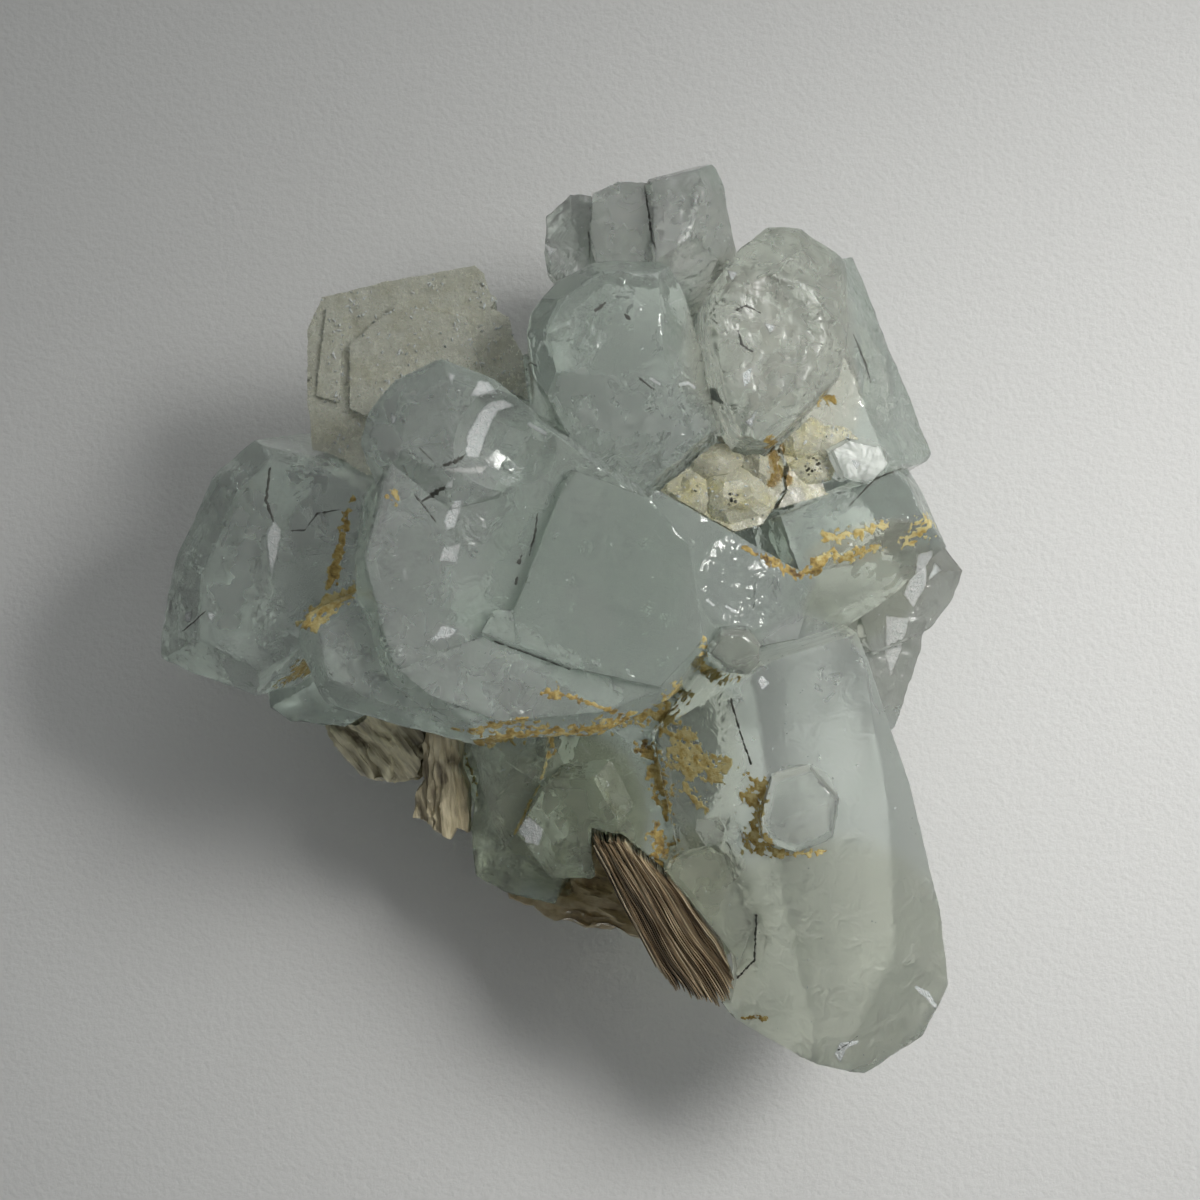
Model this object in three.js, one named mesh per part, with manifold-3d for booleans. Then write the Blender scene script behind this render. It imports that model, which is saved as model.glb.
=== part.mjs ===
// A loose cluster of stubby aquamarine crystals with etched quartz and books of muscovite mica.
// Millimetres, +Z up. The cluster rests on its broken underside at z = 0, and the origin is the
// middle of that resting face. Plan views below are looked at from above, with +X to the right.
import * as THREE from "three";
import { ConvexGeometry } from "three/addons/geometries/ConvexGeometry.js";
import { mergeVertices } from "three/addons/utils/BufferGeometryUtils.js";
import Module from "manifold-3d";

const wasm = await Module();
wasm.setup();

const seamGap = 0.3; // air left between two minerals that only touch
const insideTolerance = 1e-6; // how far past a face a corner may be and still count as on it
const degrees = Math.PI / 180;
const up = new THREE.Vector3(0, 0, 1);

// Heading is anticlockwise from +X seen from above, and rise is above the horizon, in degrees.
function direction(heading, rise) {
  const flat = Math.cos(rise * degrees);
  return new THREE.Vector3(
    flat * Math.cos(heading * degrees),
    flat * Math.sin(heading * degrees),
    Math.sin(rise * degrees),
  );
}

// A face is a plane with its outward normal, and a convex crystal is what lies behind all its faces.
function face(normal, point) {
  const outward = normal.clone().normalize();
  return { normal: outward, reach: outward.dot(point) };
}

// The faces of a crystal: its cap, the rings of side faces round it, extra cuts and a foot.
//   cap    [x, y, z, tilt, towards]: a point of the top face, and how far it dips towards a heading
//   axis   [heading, rise]: the way the crystal grew, which its walls follow
//   rings  { drop, corners, dips }: a plan outline, anticlockwise, lying `drop` below the cap. Each side
//          dips by its number of degrees, or follows the axis where there are no dips
//   cuts   [x, y, z, heading, rise]: a face through that point, looking that way
//   foot   the height where the crystal ends below
function facesOf({ cap, axis = [0, 90], rings = [], cuts = [], foot = 0 }) {
  const [x, y, z, tilt = 0, towards = 0] = cap;
  const capNormal = direction(towards, 90 - tilt);
  const growth = direction(...axis);
  const heightAt = (px, py) => z - (capNormal.x * (px - x) + capNormal.y * (py - y)) / capNormal.z;
  const faces = [
    face(capNormal, new THREE.Vector3(x, y, z)),
    face(up.clone().negate(), new THREE.Vector3(0, 0, foot)),
  ];
  for (const { drop = 0, corners, dips } of rings) {
    corners.forEach(([px, py], i) => {
      const [qx, qy] = corners[(i + 1) % corners.length];
      const from = new THREE.Vector3(px, py, heightAt(px, py) - drop);
      const along = new THREE.Vector3(qx, qy, heightAt(qx, qy) - drop).sub(from).normalize();
      const outward = new THREE.Vector3(qy - py, px - qx, 0).normalize();
      const dip = dips && dips[i] * degrees;
      const normal = dips
        ? outward.multiplyScalar(Math.sin(dip)).addScaledVector(up, Math.cos(dip))
        : along.clone().cross(growth);
      faces.push(face(normal.addScaledVector(along, -normal.dot(along)), from));
    });
  }
  for (const [px, py, pz, heading, rise] of cuts)
    faces.push(face(direction(heading, rise), new THREE.Vector3(px, py, pz)));
  return faces;
}

// The six sides and two ends of a straight hexagonal prism between two points.
function prismFaces({ from, to, radius, roll = 0, bevel = 0 }) {
  const start = new THREE.Vector3(...from);
  const end = new THREE.Vector3(...to);
  const growth = end.clone().sub(start).normalize();
  const beside = Math.abs(growth.z) > 0.9 ? new THREE.Vector3(1, 0, 0) : up.clone();
  const side = beside.cross(growth).normalize();
  const faces = [face(growth, end), face(growth.clone().negate(), start)];
  for (let i = 0; i < 6; i += 1) {
    const normal = side.clone().applyAxisAngle(growth, (roll + 60 * i) * degrees);
    faces.push(face(normal, start.clone().addScaledVector(normal, radius)));
    if (!bevel) continue;
    const edge = end.clone().addScaledVector(normal, radius);
    faces.push(face(normal.clone().add(growth), edge.addScaledVector(growth, -bevel)));
  }
  return faces;
}

// Every corner where three faces meet that no other face cuts off.
function cornersOf(faces) {
  const corners = [];
  for (let i = 0; i < faces.length; i += 1)
    for (let j = i + 1; j < faces.length; j += 1)
      for (let k = j + 1; k < faces.length; k += 1) {
        const [a, b, c] = [faces[i], faces[j], faces[k]];
        const bc = b.normal.clone().cross(c.normal);
        const det = a.normal.dot(bc);
        if (Math.abs(det) < insideTolerance) continue;
        const corner = bc
          .multiplyScalar(a.reach)
          .addScaledVector(c.normal.clone().cross(a.normal), b.reach)
          .addScaledVector(a.normal.clone().cross(b.normal), c.reach)
          .divideScalar(det);
        if (faces.every((f) => f.normal.dot(corner) - f.reach < insideTolerance)) corners.push(corner);
      }
  return corners;
}

function solidOf(geometry) {
  const bare = geometry.clone();
  bare.deleteAttribute("normal");
  bare.deleteAttribute("uv");
  const merged = mergeVertices(bare, 1e-4);
  return new wasm.Manifold(
    new wasm.Mesh({
      numProp: 3,
      vertProperties: new Float32Array(merged.attributes.position.array),
      triVerts: new Uint32Array(merged.index.array),
    }),
  );
}

// A convex crystal, grown outward by `clearance` on every face.
function convexSolid(faces, clearance = 0) {
  const grown = faces.map(({ normal, reach }) => ({ normal, reach: reach + clearance }));
  return solidOf(new ConvexGeometry(cornersOf(grown)));
}

function joined(solids) {
  return solids.reduce((whole, piece) => whole.add(piece));
}

function meshOf(solid, name, material) {
  const { numProp, vertProperties, triVerts } = solid.getMesh();
  const positions = new Float32Array((vertProperties.length / numProp) * 3);
  for (let i = 0; i < positions.length / 3; i += 1)
    positions.set(vertProperties.subarray(i * numProp, i * numProp + 3), i * 3);
  const geometry = new THREE.BufferGeometry();
  geometry.setAttribute("position", new THREE.BufferAttribute(positions, 3));
  geometry.setIndex(new THREE.BufferAttribute(new Uint32Array(triVerts), 1));
  geometry.computeVertexNormals();
  const mesh = new THREE.Mesh(geometry, material);
  mesh.name = name;
  return mesh;
}

// The aquamarine crystals, which have grown into each other.
const aquamarine = {
  // the big centre crystal, seen end on, with a worn rim along its lower side
  centre: {
    cap: [-5, 1, 36, 7, -30],
    axis: [200, 82],
    rings: [
      {
        corners: [[-15.9, 9.8], [-17.6, 3], [-15.6, -4.5], [-9.8, -9.2], [0, -8.7], [5.1, -6.6],
          [7.7, -3.4],
          [6.3, 5.7], [-1, 10.7], [-5.6, 14.1], [-12, 14.3]],
        dips: [70, 70, 55, 50, 50, 55, 60, 60, 75, 75, 75],
      },
      {
        drop: 3,
        corners: [[-18.1, 7.6], [-18.8, 0], [-16.3, -6.1], [-9.9, -10.5], [0, -10.3], [5.5, -7.4],
          [9, -2],
          [7.5, 6.3], [-1, 11.6], [-5.3, 14.8], [-12.9, 15.6]],
      },
    ],
    foot: 8,
  },
  // the growth step that covers the lower part of its cap, and the plate on top of that
  centreStep: {
    cap: [-5, 1, 36.7, 7, -30],
    rings: [
      {
        corners: [[-15.5, -5], [-12.8, -3.4], [-8.9, -2.7], [-2.2, 0], [5.5, 0], [5.6, -6.2],
          [0.8, -8.4], [-7.5, -9.2],
          [-12.8, -7.1]].reverse(),
      },
    ],
    foot: 30,
  },
  centrePlate: {
    cap: [-5, 1, 37.5, 7, -30],
    rings: [
      { corners: [[-6.3, -3.4], [-2.2, -5.1], [4.5, -6.6], [7.8, -3], [6.7, 4.1], [3.7, 7.7],
        [-2.2, 9.8], [-6.5, -0.9]] },
    ],
    foot: 30,
  },
  centrePlateToe: {
    cap: [-5, 1, 37.4, 7, -30],
    rings: [{ corners: [[-9, -2.5], [-3, -4.8], [-5, -0.8], [-8, -0.7]] }],
    foot: 30,
  },
  // its long right shoulder, sloping down towards the stained face
  centreShoulder: {
    cap: [6.5, 3, 35, 24, -6],
    rings: [
      { corners: [[3.5, -3.5], [8.4, -4.4], [15.2, -3], [16.7, 1.5], [4.2, 8.4], [2.7, 6.6]] },
    ],
    foot: 12,
  },
  // the rounded lobe at its upper left
  centreLobe: {
    cap: [-11.5, 13, 38.8, 6, 150],
    axis: [150, 80],
    rings: [
      {
        corners: [[-15.3, 11.2], [-11.9, 9.7], [-7.4, 11.9], [-8.2, 15.3], [-11.2, 16.5], [-14.1, 14.9]],
        dips: [40, 30, 40, 42, 38, 36],
      },
      {
        drop: 3,
        corners: [[-17.8, 11.7], [-16.6, 8.2], [-13.6, 6], [-7.6, 7.6], [-4.5, 11.3], [-4.9, 14.2],
          [-7.6, 16.4],
          [-11.7, 18], [-15.1, 16.4], [-17.2, 14]],
      },
    ],
    foot: 12,
  },
  // the foot at its lower left
  centreFoot: {
    cap: [-16, -5, 33.6, 8, 215],
    axis: [215, 76],
    rings: [
      {
        corners: [[-21.5, -2.3], [-20.6, -6.1], [-15.2, -8], [-9.9, -8.8], [-12.2, -3.8], [-18.3, -0.4]],
        dips: [45, 48, 50, 50, 60, 45],
      },
      {
        drop: 2.5,
        corners: [[-23.1, -3.1], [-20.9, -7.9], [-15.3, -9.5], [-9.2, -11.3], [-6.2, -10.4],
          [-12.3, -3.1],
          [-18.7, 0.6], [-22.3, -0.9]],
      },
    ],
    foot: 13,
  },
  // the upright prism behind the centre, with its dark end face and broken front
  upper: {
    cap: [0, 21, 35.6, 8, 80],
    axis: [85, 78],
    rings: [
      {
        corners: [[-3.3, 17.2], [0.4, 16.7], [4.8, 18.2], [4.4, 24.8], [0.2, 24.9], [-2.9, 22.7],
          [-4.1, 20.3]],
        dips: [24, 24, 55, 68, 60, 50, 42],
      },
      {
        drop: 4,
        corners: [[-2.3, 12], [0.6, 9.9], [3.4, 8.6], [9.6, 13.8], [8, 18.6], [7.4, 21.7], [6, 23.9],
          [4.6, 25.5],
          [0, 25.6], [-3.3, 24], [-5.3, 21.4], [-5.6, 19.7], [-5.2, 16.7]],
      },
    ],
    foot: 9,
  },
  // the frosted, lumpy crystal to its right
  frosted: {
    cap: [13, 20, 33, 6, 60],
    axis: [60, 74],
    rings: [
      {
        corners: [[9.6, 16.8], [11.5, 14.5], [15.3, 16], [17.2, 19.9], [16.4, 23.7], [13, 25.2],
          [10.3, 24.1],
          [8.8, 21.4]],
        dips: [44, 40, 42, 48, 40, 46, 44, 40],
      },
      {
        drop: 4,
        corners: [[7.8, 19.4], [8.9, 15.5], [10.5, 12], [12.8, 11.6], [15.5, 14], [18.2, 16.7],
          [19, 20.9], [19, 26],
          [15.5, 28.5], [12.8, 28.6], [10.5, 26.7], [8.1, 23.3]],
      },
    ],
    foot: 9,
  },
  // the group of three at the top of the cluster
  topRight: {
    cap: [6, 30, 26.4, 10, 70],
    axis: [82, 58],
    rings: [
      {
        corners: [[3.9, 32.7], [4.3, 26.4], [7, 28.2], [8.2, 32.1], [7.7, 33.8]],
        dips: [85, 60, 58, 55, 80],
      },
      { drop: 3, corners: [[3.8, 33.8], [4, 24.8], [9.6, 24.8], [11.8, 28.6], [9.1, 33.6], [8, 34.8]] },
    ],
    foot: 8,
  },
  topMiddle: {
    cap: [1.5, 29, 25.2, 8, 110],
    axis: [95, 58],
    rings: [{ corners: [[-0.8, 28.6], [0, 25.7], [4.7, 26], [4.3, 32.8], [1.4, 33], [-0.6, 32]] }],
    foot: 8,
  },
  topLeft: {
    cap: [-2.4, 29, 23, 22, 150],
    axis: [110, 56],
    rings: [{ corners: [[-4.4, 26.2], [-3.2, 25], [0, 25.4], [-0.2, 29], [-0.6, 32], [-2.4, 32.3],
      [-4.4, 30.6]] }],
    foot: 8,
  },
  // the long prism down the right side
  right: { prism: { from: [14, 24.9, 20.6], to: [20.4, 8.7, 21.4], radius: 5.8, roll: 98, bevel: 0.5 } },
  // the blue and the grey face at the right
  rightLower: {
    cap: [18, 6, 27, 9, 110],
    axis: [10, 70],
    rings: [
      {
        corners: [[11.3, 4.3], [15.9, 1.8], [18, 3], [25.3, 6.1], [23.9, 9.5], [22.8, 10.3], [12.5, 7.5]],
        dips: [42, 42, 42, 72, 70, 50, 50],
      },
      {
        drop: 4,
        corners: [[12.6, 6.3], [15.8, -3.3], [19.8, -2.4], [24.1, 0.8], [27.4, 4.2], [25.4, 8.3],
          [23.1, 10.7]],
      },
    ],
    foot: 9,
  },
  // the broken tip under it
  rightTip: {
    cap: [25.5, 1, 19, 24, -40],
    axis: [-10, 52],
    rings: [{ corners: [[20.5, -0.5], [22, -4.5], [26.7, -2.4], [28.5, 0], [29.4, 2.4], [27.9, 4.2],
      [22, 6]] }],
    foot: 6,
  },
  rightTipLower: {
    cap: [23.5, -5, 17, 20, -30],
    axis: [-30, 54],
    rings: [{ corners: [[18.5, -3], [21.7, -8.5], [23.1, -11.2], [24.5, -10], [25.6, -5.7], [26.8, -2],
      [22, 1]] }],
    foot: 6,
  },
  // the large prism at the lower right, lying with one face up
  lower: {
    cap: [15, -16, 28.2, 12, -76],
    axis: [-50, 84],
    rings: [
      {
        corners: [[10.4, -6.9], [11.5, -11.9], [14.3, -23.7], [15.8, -33.9], [19.7, -35.1], [23.1, -27.6],
          [22.3, -15.6], [20.2, -4.6], [18.9, -2.3], [12.5, -4.6]],
        dips: [38, 38, 36, 30, 40, 42, 52, 56, 76, 70],
      },
      {
        drop: 5,
        corners: [[4.3, -10.7], [8.3, -30.4], [10.7, -33.5], [16.7, -36.3], [20.8, -37.4], [25.8, -34.9],
          [27.8, -30.8], [26.9, -24.1], [24.1, -14.2], [19.6, -2.1], [12.8, -4.3], [7.9, -6.3]],
      },
    ],
    cuts: [[18, -33, 16, -70, -62]],
    foot: 7,
  },
  // small crystals that stand on it
  hexagonOnLower: {
    cap: [15.5, -16, 30.1, 7, 190],
    axis: [-60, 80],
    rings: [
      {
        corners: [[12.9, -16.8], [13.1, -18.3], [15.2, -19], [17.6, -18], [18, -15.3], [16.1, -13.3],
          [13.7, -14]],
        dips: [42, 42, 42, 42, 42, 42, 42],
      },
      {
        drop: 0.5,
        corners: [[12.4, -16.9], [12.6, -18.6], [15.2, -19.6], [18, -18.4], [18.5, -15.2],
          [16.3, -12.8], [13.3, -13.5]],
      },
    ],
    foot: 18,
  },
  squareOnLower: {
    cap: [8.6, -18.2, 25.2, 10, 220],
    rings: [{ corners: [[7.5, -18.2], [8.3, -19.4], [9.6, -19.2], [9.8, -17.9], [9.3, -17],
      [7.6, -17.3]] }],
    foot: 15,
  },
  roundByCentre: {
    cap: [10, -4, 34.8, 10, -60],
    axis: [-60, 80],
    rings: [
      {
        drop: 0.6,
        corners: [[8, -3.8], [8.2, -4.7], [9.6, -5.5], [11.2, -5.7], [12.1, -4.8], [12.2, -3.4],
          [11.3, -2.2], [9.2, -2.2]],
      },
      {
        corners: [[8.5, -3.9], [9.7, -5], [11, -5.2], [11.7, -4.6], [11.7, -3.5], [11, -2.7],
          [9.4, -2.7]],
        dips: [45, 45, 45, 45, 45, 45, 45],
      },
    ],
    foot: 24,
  },
  lowerLeft: {
    cap: [8.8, -24.5, 23.8, 12, 225],
    axis: [240, 72],
    rings: [
      { corners: [[5, -21.4], [6.3, -24.8], [9.1, -28.8], [10.8, -29.5], [12.1, -25.6], [12.5, -23.6],
        [10.6, -20.6], [8.4, -19.5], [5.8, -20.6]] },
    ],
    foot: 10,
  },
  // the green-grey hexagon below the centre, and the pale crystals beside it
  green: {
    cap: [-2.6, -18, 23, 27, 225],
    axis: [225, 63],
    rings: [{ corners: [[-6.7, -18.6], [-4.1, -22.2], [-0.6, -22.2], [1.5, -17.6], [-0.5, -14],
      [-4.1, -14.1]] }],
    foot: 5,
  },
  paleUpper: {
    cap: [-7.4, -14.5, 20.4, 18, 240],
    axis: [240, 68],
    rings: [{ corners: [[-10.4, -11.8], [-8.8, -17.6], [-7.6, -20], [-6.6, -18.6], [-4.6, -14.2],
      [-4, -10]] }],
    foot: 5,
  },
  paleLower: {
    cap: [-7.5, -20, 15, 20, 235],
    axis: [235, 66],
    rings: [{ corners: [[-10.6, -18.7], [-10.3, -22.7], [-7.3, -24.2], [-3.7, -24.9], [-2, -20],
      [-9.9, -14.5]] }],
    foot: 4,
  },
  gapFiller: {
    cap: [3, -14, 21.5, 10, 230],
    rings: [{ corners: [[-2, -12], [1, -22], [5, -26], [9, -24], [8, -8], [0, -7]] }],
    foot: 4,
  },
  // the grey prism that points left
  left: {
    cap: [-25.5, 2.5, 28, 5, 205],
    axis: [195, 62],
    rings: [
      {
        corners: [[-31.2, -3], [-26.4, -5.6], [-23.3, -3.9], [-17, 0.5], [-16, 7.8], [-20.6, 9.8],
          [-25.6, 10.8],
          [-28, 8.6], [-31, 1.8]],
        dips: [56, 60, 60, 80, 70, 55, 52, 50, 54],
      },
      {
        drop: 4,
        corners: [[-35.3, -4.6], [-32.3, -5.9], [-26.4, -7.5], [-23.5, -5.1], [-17, 0], [-16, 8.7],
          [-20.5, 11.3],
          [-26.6, 12.7], [-29.8, 10.2], [-32.8, 4.1], [-34.4, 0.2], [-35.3, -3.2]],
      },
    ],
    foot: 8,
  },
  leftLower: {
    cap: [-23.5, -8, 19, 14, 230],
    axis: [215, 60],
    rings: [{ corners: [[-26.7, -7.4], [-26.6, -8.7], [-25, -9.8], [-20.5, -10.3], [-17, -8],
      [-22, -3]] }],
    foot: 6,
  },
  smallOnRight: {
    cap: [20, 10.6, 29.2, 10, 20],
    rings: [{ corners: [[17.9, 11.6], [18.9, 9.2], [20.8, 8.9], [22.2, 10.4], [21.6, 11.9],
      [19.3, 12.3]] }],
    foot: 18,
  },
  // crystals on the sides and the underside, which the others hide from above
  underLeft: { prism: { from: [-8, 0, 12], to: [-27.5, 1.5, 9.5], radius: 4.2, roll: 12, bevel: 1.2 } },
  underLeftBack: { prism: { from: [-4, 4, 9], to: [-19.5, 14.5, 6.5], radius: 3.6, roll: 40, bevel: 1 } },
  underBack: { prism: { from: [0, 8, 10], to: [1.5, 28.5, 7.5], radius: 4.6, roll: 20, bevel: 1.4 } },
  underBackRight: { prism: { from: [4, 6, 11], to: [16, 24, 8], radius: 4.2, roll: 50, bevel: 1.2 } },
  underRight: { prism: { from: [6, 2, 10], to: [24.5, 6.5, 7.5], radius: 4, roll: 5, bevel: 1 } },
  underFront: { prism: { from: [4, -8, 10], to: [13.5, -27.5, 8], radius: 4.4, roll: 30, bevel: 1.3 } },
  underFrontLeft: { prism: { from: [0, -4, 9], to: [-12, -15.5, 6], radius: 3.8, roll: 15, bevel: 1 } },
  // the broken root that all of them share, which is also what the cluster rests on
  root: {
    cap: [2, -2, 21, 0, 0],
    axis: [0, 90],
    rings: [
      {
        corners: [[-20, 4], [-17, -7], [-6, -14], [4, -21], [15, -24], [20, -14], [21, 4], [15, 19],
          [4, 24], [-10, 18]],
        dips: [112, 112, 114, 112, 110, 112, 112, 112, 112, 112],
      },
      {
        drop: 15,
        corners: [[-17, 5], [-16, -7], [-5, -16.5], [6, -22], [16, -20], [19.5, 2], [14, 17],
          [0, 20.5], [-12, 16]],
        dips: [138, 128, 140, 130, 132, 142, 128, 140, 132],
      },
    ],
    foot: 0,
  },
};

function crystalSolid(spec, clearance) {
  return convexSolid(spec.prism ? prismFaces(spec.prism) : facesOf(spec), clearance);
}

// Shell-like hollows where chips have come off, as [x, y, z, radius].
const chips = [
  [-5.6, 11.2, 42.2, 6.2],
  [-14, -21, -2, 9],
  [22, 15, -1, 9],
  [27, -13, -4, 13],
  [-23, 9, -4, 11],
  [-6, 27, -5, 12],
];

function ballSolid([x, y, z, radius], clearance) {
  const ball = new THREE.IcosahedronGeometry(radius - clearance, 5);
  return solidOf(ball.translate(x, y, z));
}

// All the aquamarine in one solid, since its crystals run into each other.
function aquamarineSolid(clearance = 0) {
  const whole = joined(Object.values(aquamarine).map((spec) => crystalSolid(spec, clearance)));
  return chips.reduce((rest, chip) => rest.subtract(ballSolid(chip, clearance)), whole);
}

// A plate with a plan outline that need not be convex. Its top dips like a cap, and its underside is
// smaller by `taper` about its middle and set off by `lean`.
function plateSolid({ cap, corners, bottom, taper = 1, lean = [0, 0] }) {
  const [x, y, z, tilt, towards] = cap;
  const capNormal = direction(towards, 90 - tilt);
  const outline = corners.map((corner) => new THREE.Vector2(...corner));
  const middle = outline.reduce((sum, corner) => sum.add(corner),
    new THREE.Vector2()).divideScalar(outline.length);
  const positions = [];
  for (const { x: px, y: py } of outline)
    positions.push(px, py, z - (capNormal.x * (px - x) + capNormal.y * (py - y)) / capNormal.z);
  for (const corner of outline) {
    const low = corner.clone().sub(middle).multiplyScalar(taper).add(middle);
    positions.push(low.x + lean[0], low.y + lean[1], bottom);
  }
  const count = outline.length;
  const index = [];
  for (const [a, b, c] of THREE.ShapeUtils.triangulateShape(outline, [])) {
    index.push(a, b, c, count + c, count + b, count + a);
  }
  for (let i = 0; i < count; i += 1) {
    const next = (i + 1) % count;
    index.push(i, count + i, count + next, i, count + next, next);
  }
  const geometry = new THREE.BufferGeometry();
  geometry.setAttribute("position", new THREE.BufferAttribute(new Float32Array(positions), 3));
  geometry.setIndex(index);
  return solidOf(geometry);
}

// The same numbers in the same order every time, between 0 and 1.
function seededNumbers(seed) {
  let state = seed;
  return () => {
    state = (state * 1664525 + 1013904223) % 4294967296;
    return state / 4294967296;
  };
}

// A book of mica: thin sheets that stand on edge, a little uneven in height and splayed apart, cut to
// one outline in plan.
//   start, end   the middle of the stack's top at its two ends
//   widths       the thickness of the stack at each end
//   bottom       the height where the sheets end below
//   uneven       how far a sheet's top may stand from its neighbours'
function bookSolid({ outline, start, end, widths, bottom, sheets, uneven, seed }) {
  const random = seededNumbers(seed);
  const from = new THREE.Vector3(...start);
  const to = new THREE.Vector3(...end);
  const along = to.clone().sub(from).setZ(0).normalize();
  const across = along.clone().cross(up);
  const overlap = 0.04; // of a sheet's thickness, so that neighbours are joined
  const solids = [];
  for (let i = 0; i < sheets; i += 1) {
    const points = [];
    const round = 1 - ((i + 0.5) / sheets * 2 - 1) ** 2;
    for (const [base, width] of [[from, widths[0]], [to, widths[1]]]) {
      const lift = (random() - 0.5) * uneven + round;
      for (const edge of [i - overlap, i + 1 + overlap]) {
        const top = base.clone().addScaledVector(across, ((edge / sheets) * 2 - 1) * (width / 2));
        top.z += lift;
        points.push(top, top.clone().setZ(bottom + random() * 0.8));
      }
    }
    solids.push(solidOf(new ConvexGeometry(points)));
  }
  const top = Math.max(start[2], end[2]) + 4;
  const column = plateSolid({ cap: [0, 0, top, 0, 0], corners: outline, bottom: bottom - 1 });
  return joined(solids).intersect(column);
}

// A rounded lump with a rough skin, at the centre x, y, z and with the given half sizes.
function lumpSolid([x, y, z, halfX, halfY, halfZ], random) {
  const round = new THREE.IcosahedronGeometry(1, 2).deleteAttribute("normal").deleteAttribute("uv");
  const lump = mergeVertices(round, 1e-4);
  const { position } = lump.attributes;
  for (let i = 0; i < position.count; i += 1) {
    const swell = 0.9 + 0.2 * random();
    position.setXYZ(i, position.getX(i) * swell, position.getY(i) * swell, position.getZ(i) * swell);
  }
  return solidOf(new THREE.BufferGeometry().copy(lump).scale(halfX, halfY, halfZ).translate(x, y, z));
}

function crustSolid({ bed, lumps }, seed, clearance = 0) {
  const random = seededNumbers(seed);
  const grown = lumps.map(([x, y, z, ...halves]) =>
    lumpSolid([x, y, z, ...halves.map((half) => half + clearance)], random));
  return joined([convexSolid(facesOf(bed), clearance), ...grown]);
}

const frostedPlate = {
  cap: [-14, 19, 26, 5, 150],
  corners: [[-22.9, 15.7], [-22.4, 11], [-20, 10.2], [-14, 9], [-6, 13], [-4.7, 15.7], [-5.5, 18.2],
    [-6.8, 20.4],
    [-7.1, 22.1], [-8.6, 22.8], [-8.1, 23.6], [-8.6, 23.9], [-9.1, 25.5], [-9.8, 26.1], [-16.9, 24.9],
    [-21.8, 23.7], [-22.9, 21.2]],
  bottom: 13,
  taper: 0.62,
  lean: [1.2, -4],
};

// The ledges that are left on the plate's top, each a thin layer of its own.
const plateLedges = [
  { cap: [-14, 19, 26.7, 5, 150], corners: [[-19.5, 15], [-14, 12], [-9, 17], [-10.5, 22], [-16, 23],
    [-19.5, 20]], bottom: 24 },
  { cap: [-14, 19, 26.4, 5, 150], corners: [[-22.2, 16], [-20.4, 15.5], [-20.1, 22.6], [-21.4, 22.8]],
    bottom: 24 },
];

// The yellow crust in two patches, each a bed with lumps [x, y, z, half sizes] on it.
const crustLower = {
  bed: {
    cap: [9, 9, 28.6, 8, 70],
    rings: [
      { corners: [[4, 7.9], [6.5, 5.6], [9.2, 5], [12.6, 5.9], [14.2, 8.6], [13.4, 12.2], [10.4, 12.9],
        [7.3, 12.3], [5.4, 10.2]] },
    ],
    foot: 17,
  },
  lumps: [
    [6.9, 8, 27.2, 2.5, 2.2, 2.8],
    [10.6, 8, 27.2, 3, 2.5, 3],
    [9, 10.6, 27, 2.7, 1.8, 2.6],
    [12.3, 10.3, 26.7, 1.9, 2, 2.7],
  ],
};
const crustUpper = {
  bed: {
    cap: [17.5, 12, 26.9, 8, 30],
    rings: [
      { corners: [[12.9, 12.4], [12.6, 6.8], [22.4, 9.6], [22.6, 13.2], [19.4, 14.2], [15.5, 15]] },
    ],
    foot: 17,
  },
  lumps: [
    [15.9, 12.6, 25.8, 2.5, 2, 2.6],
    [18.6, 12.3, 25.6, 2.6, 1.8, 2.6],
    [16.6, 10.2, 25.6, 2.6, 1.6, 2.4],
    [20.9, 12.1, 25, 1.7, 1.4, 2.4],
  ],
};
const crustSeed = 3;

const bookFront = {
  outline: [[-0.4, -18.4], [-0.3, -20.8], [0.3, -22.8], [1.3, -24.7], [3.5, -28.4], [5.9, -30.8],
    [7.7, -31.8],
    [10.2, -31.8], [10.5, -29.8], [10.2, -28], [8.4, -26], [5.5, -22.4], [2.5, -19.9], [1.9, -19.1],
      [0.1, -19.1]],
  start: [0.6, -18, 23.6],
  end: [9.4, -32.4, 22.6],
  widths: [3.2, 5.6],
  bottom: 13,
  sheets: 11,
  uneven: 1,
  seed: 7,
};
const bookLeft = {
  outline: [[-22.4, -9.4], [-21.8, -11], [-20.6, -12.8], [-19.3, -14.1], [-17.7, -14.7], [-14.7, -14.5],
    [-14.3, -11.2], [-14.6, -8], [-20.8, -7.4]],
  start: [-21, -7, 17],
  end: [-15.6, -15, 16],
  widths: [8, 8],
  bottom: 8,
  sheets: 11,
  uneven: 1.2,
  seed: 23,
};
const fan = {
  outline: [[-14.5, -13.6], [-14.2, -14.6], [-15, -15.9], [-15.1, -17.6], [-13.8, -18.3], [-12.9, -18.9],
    [-12.1, -19.3], [-11.6, -18.3], [-10.7, -18.9], [-10.8, -15.4], [-11.3, -13.8], [-11.3, -11.7],
      [-12, -9.6],
    [-13.8, -9.6], [-14.1, -11.7]],
  start: [-12.9, -9, 18.4],
  end: [-12.7, -20, 15.6],
  widths: [2.6, 5.6],
  bottom: 9,
  sheets: 8,
  uneven: 1,
  seed: 31,
};
const bookLow = {
  outline: [[-8.6, -22], [-7.4, -24.6], [-5.4, -25.2], [-4.7, -26], [-3.1, -26.9], [-0.8, -27.1],
    [1.4, -27.3],
    [4, -28], [4.4, -22], [-1, -19]],
  start: [-9.4, -20.6, 11.4],
  end: [5, -24.6, 10.8],
  widths: [8, 8],
  bottom: 5,
  sheets: 12,
  uneven: 1,
  seed: 11,
};

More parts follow.
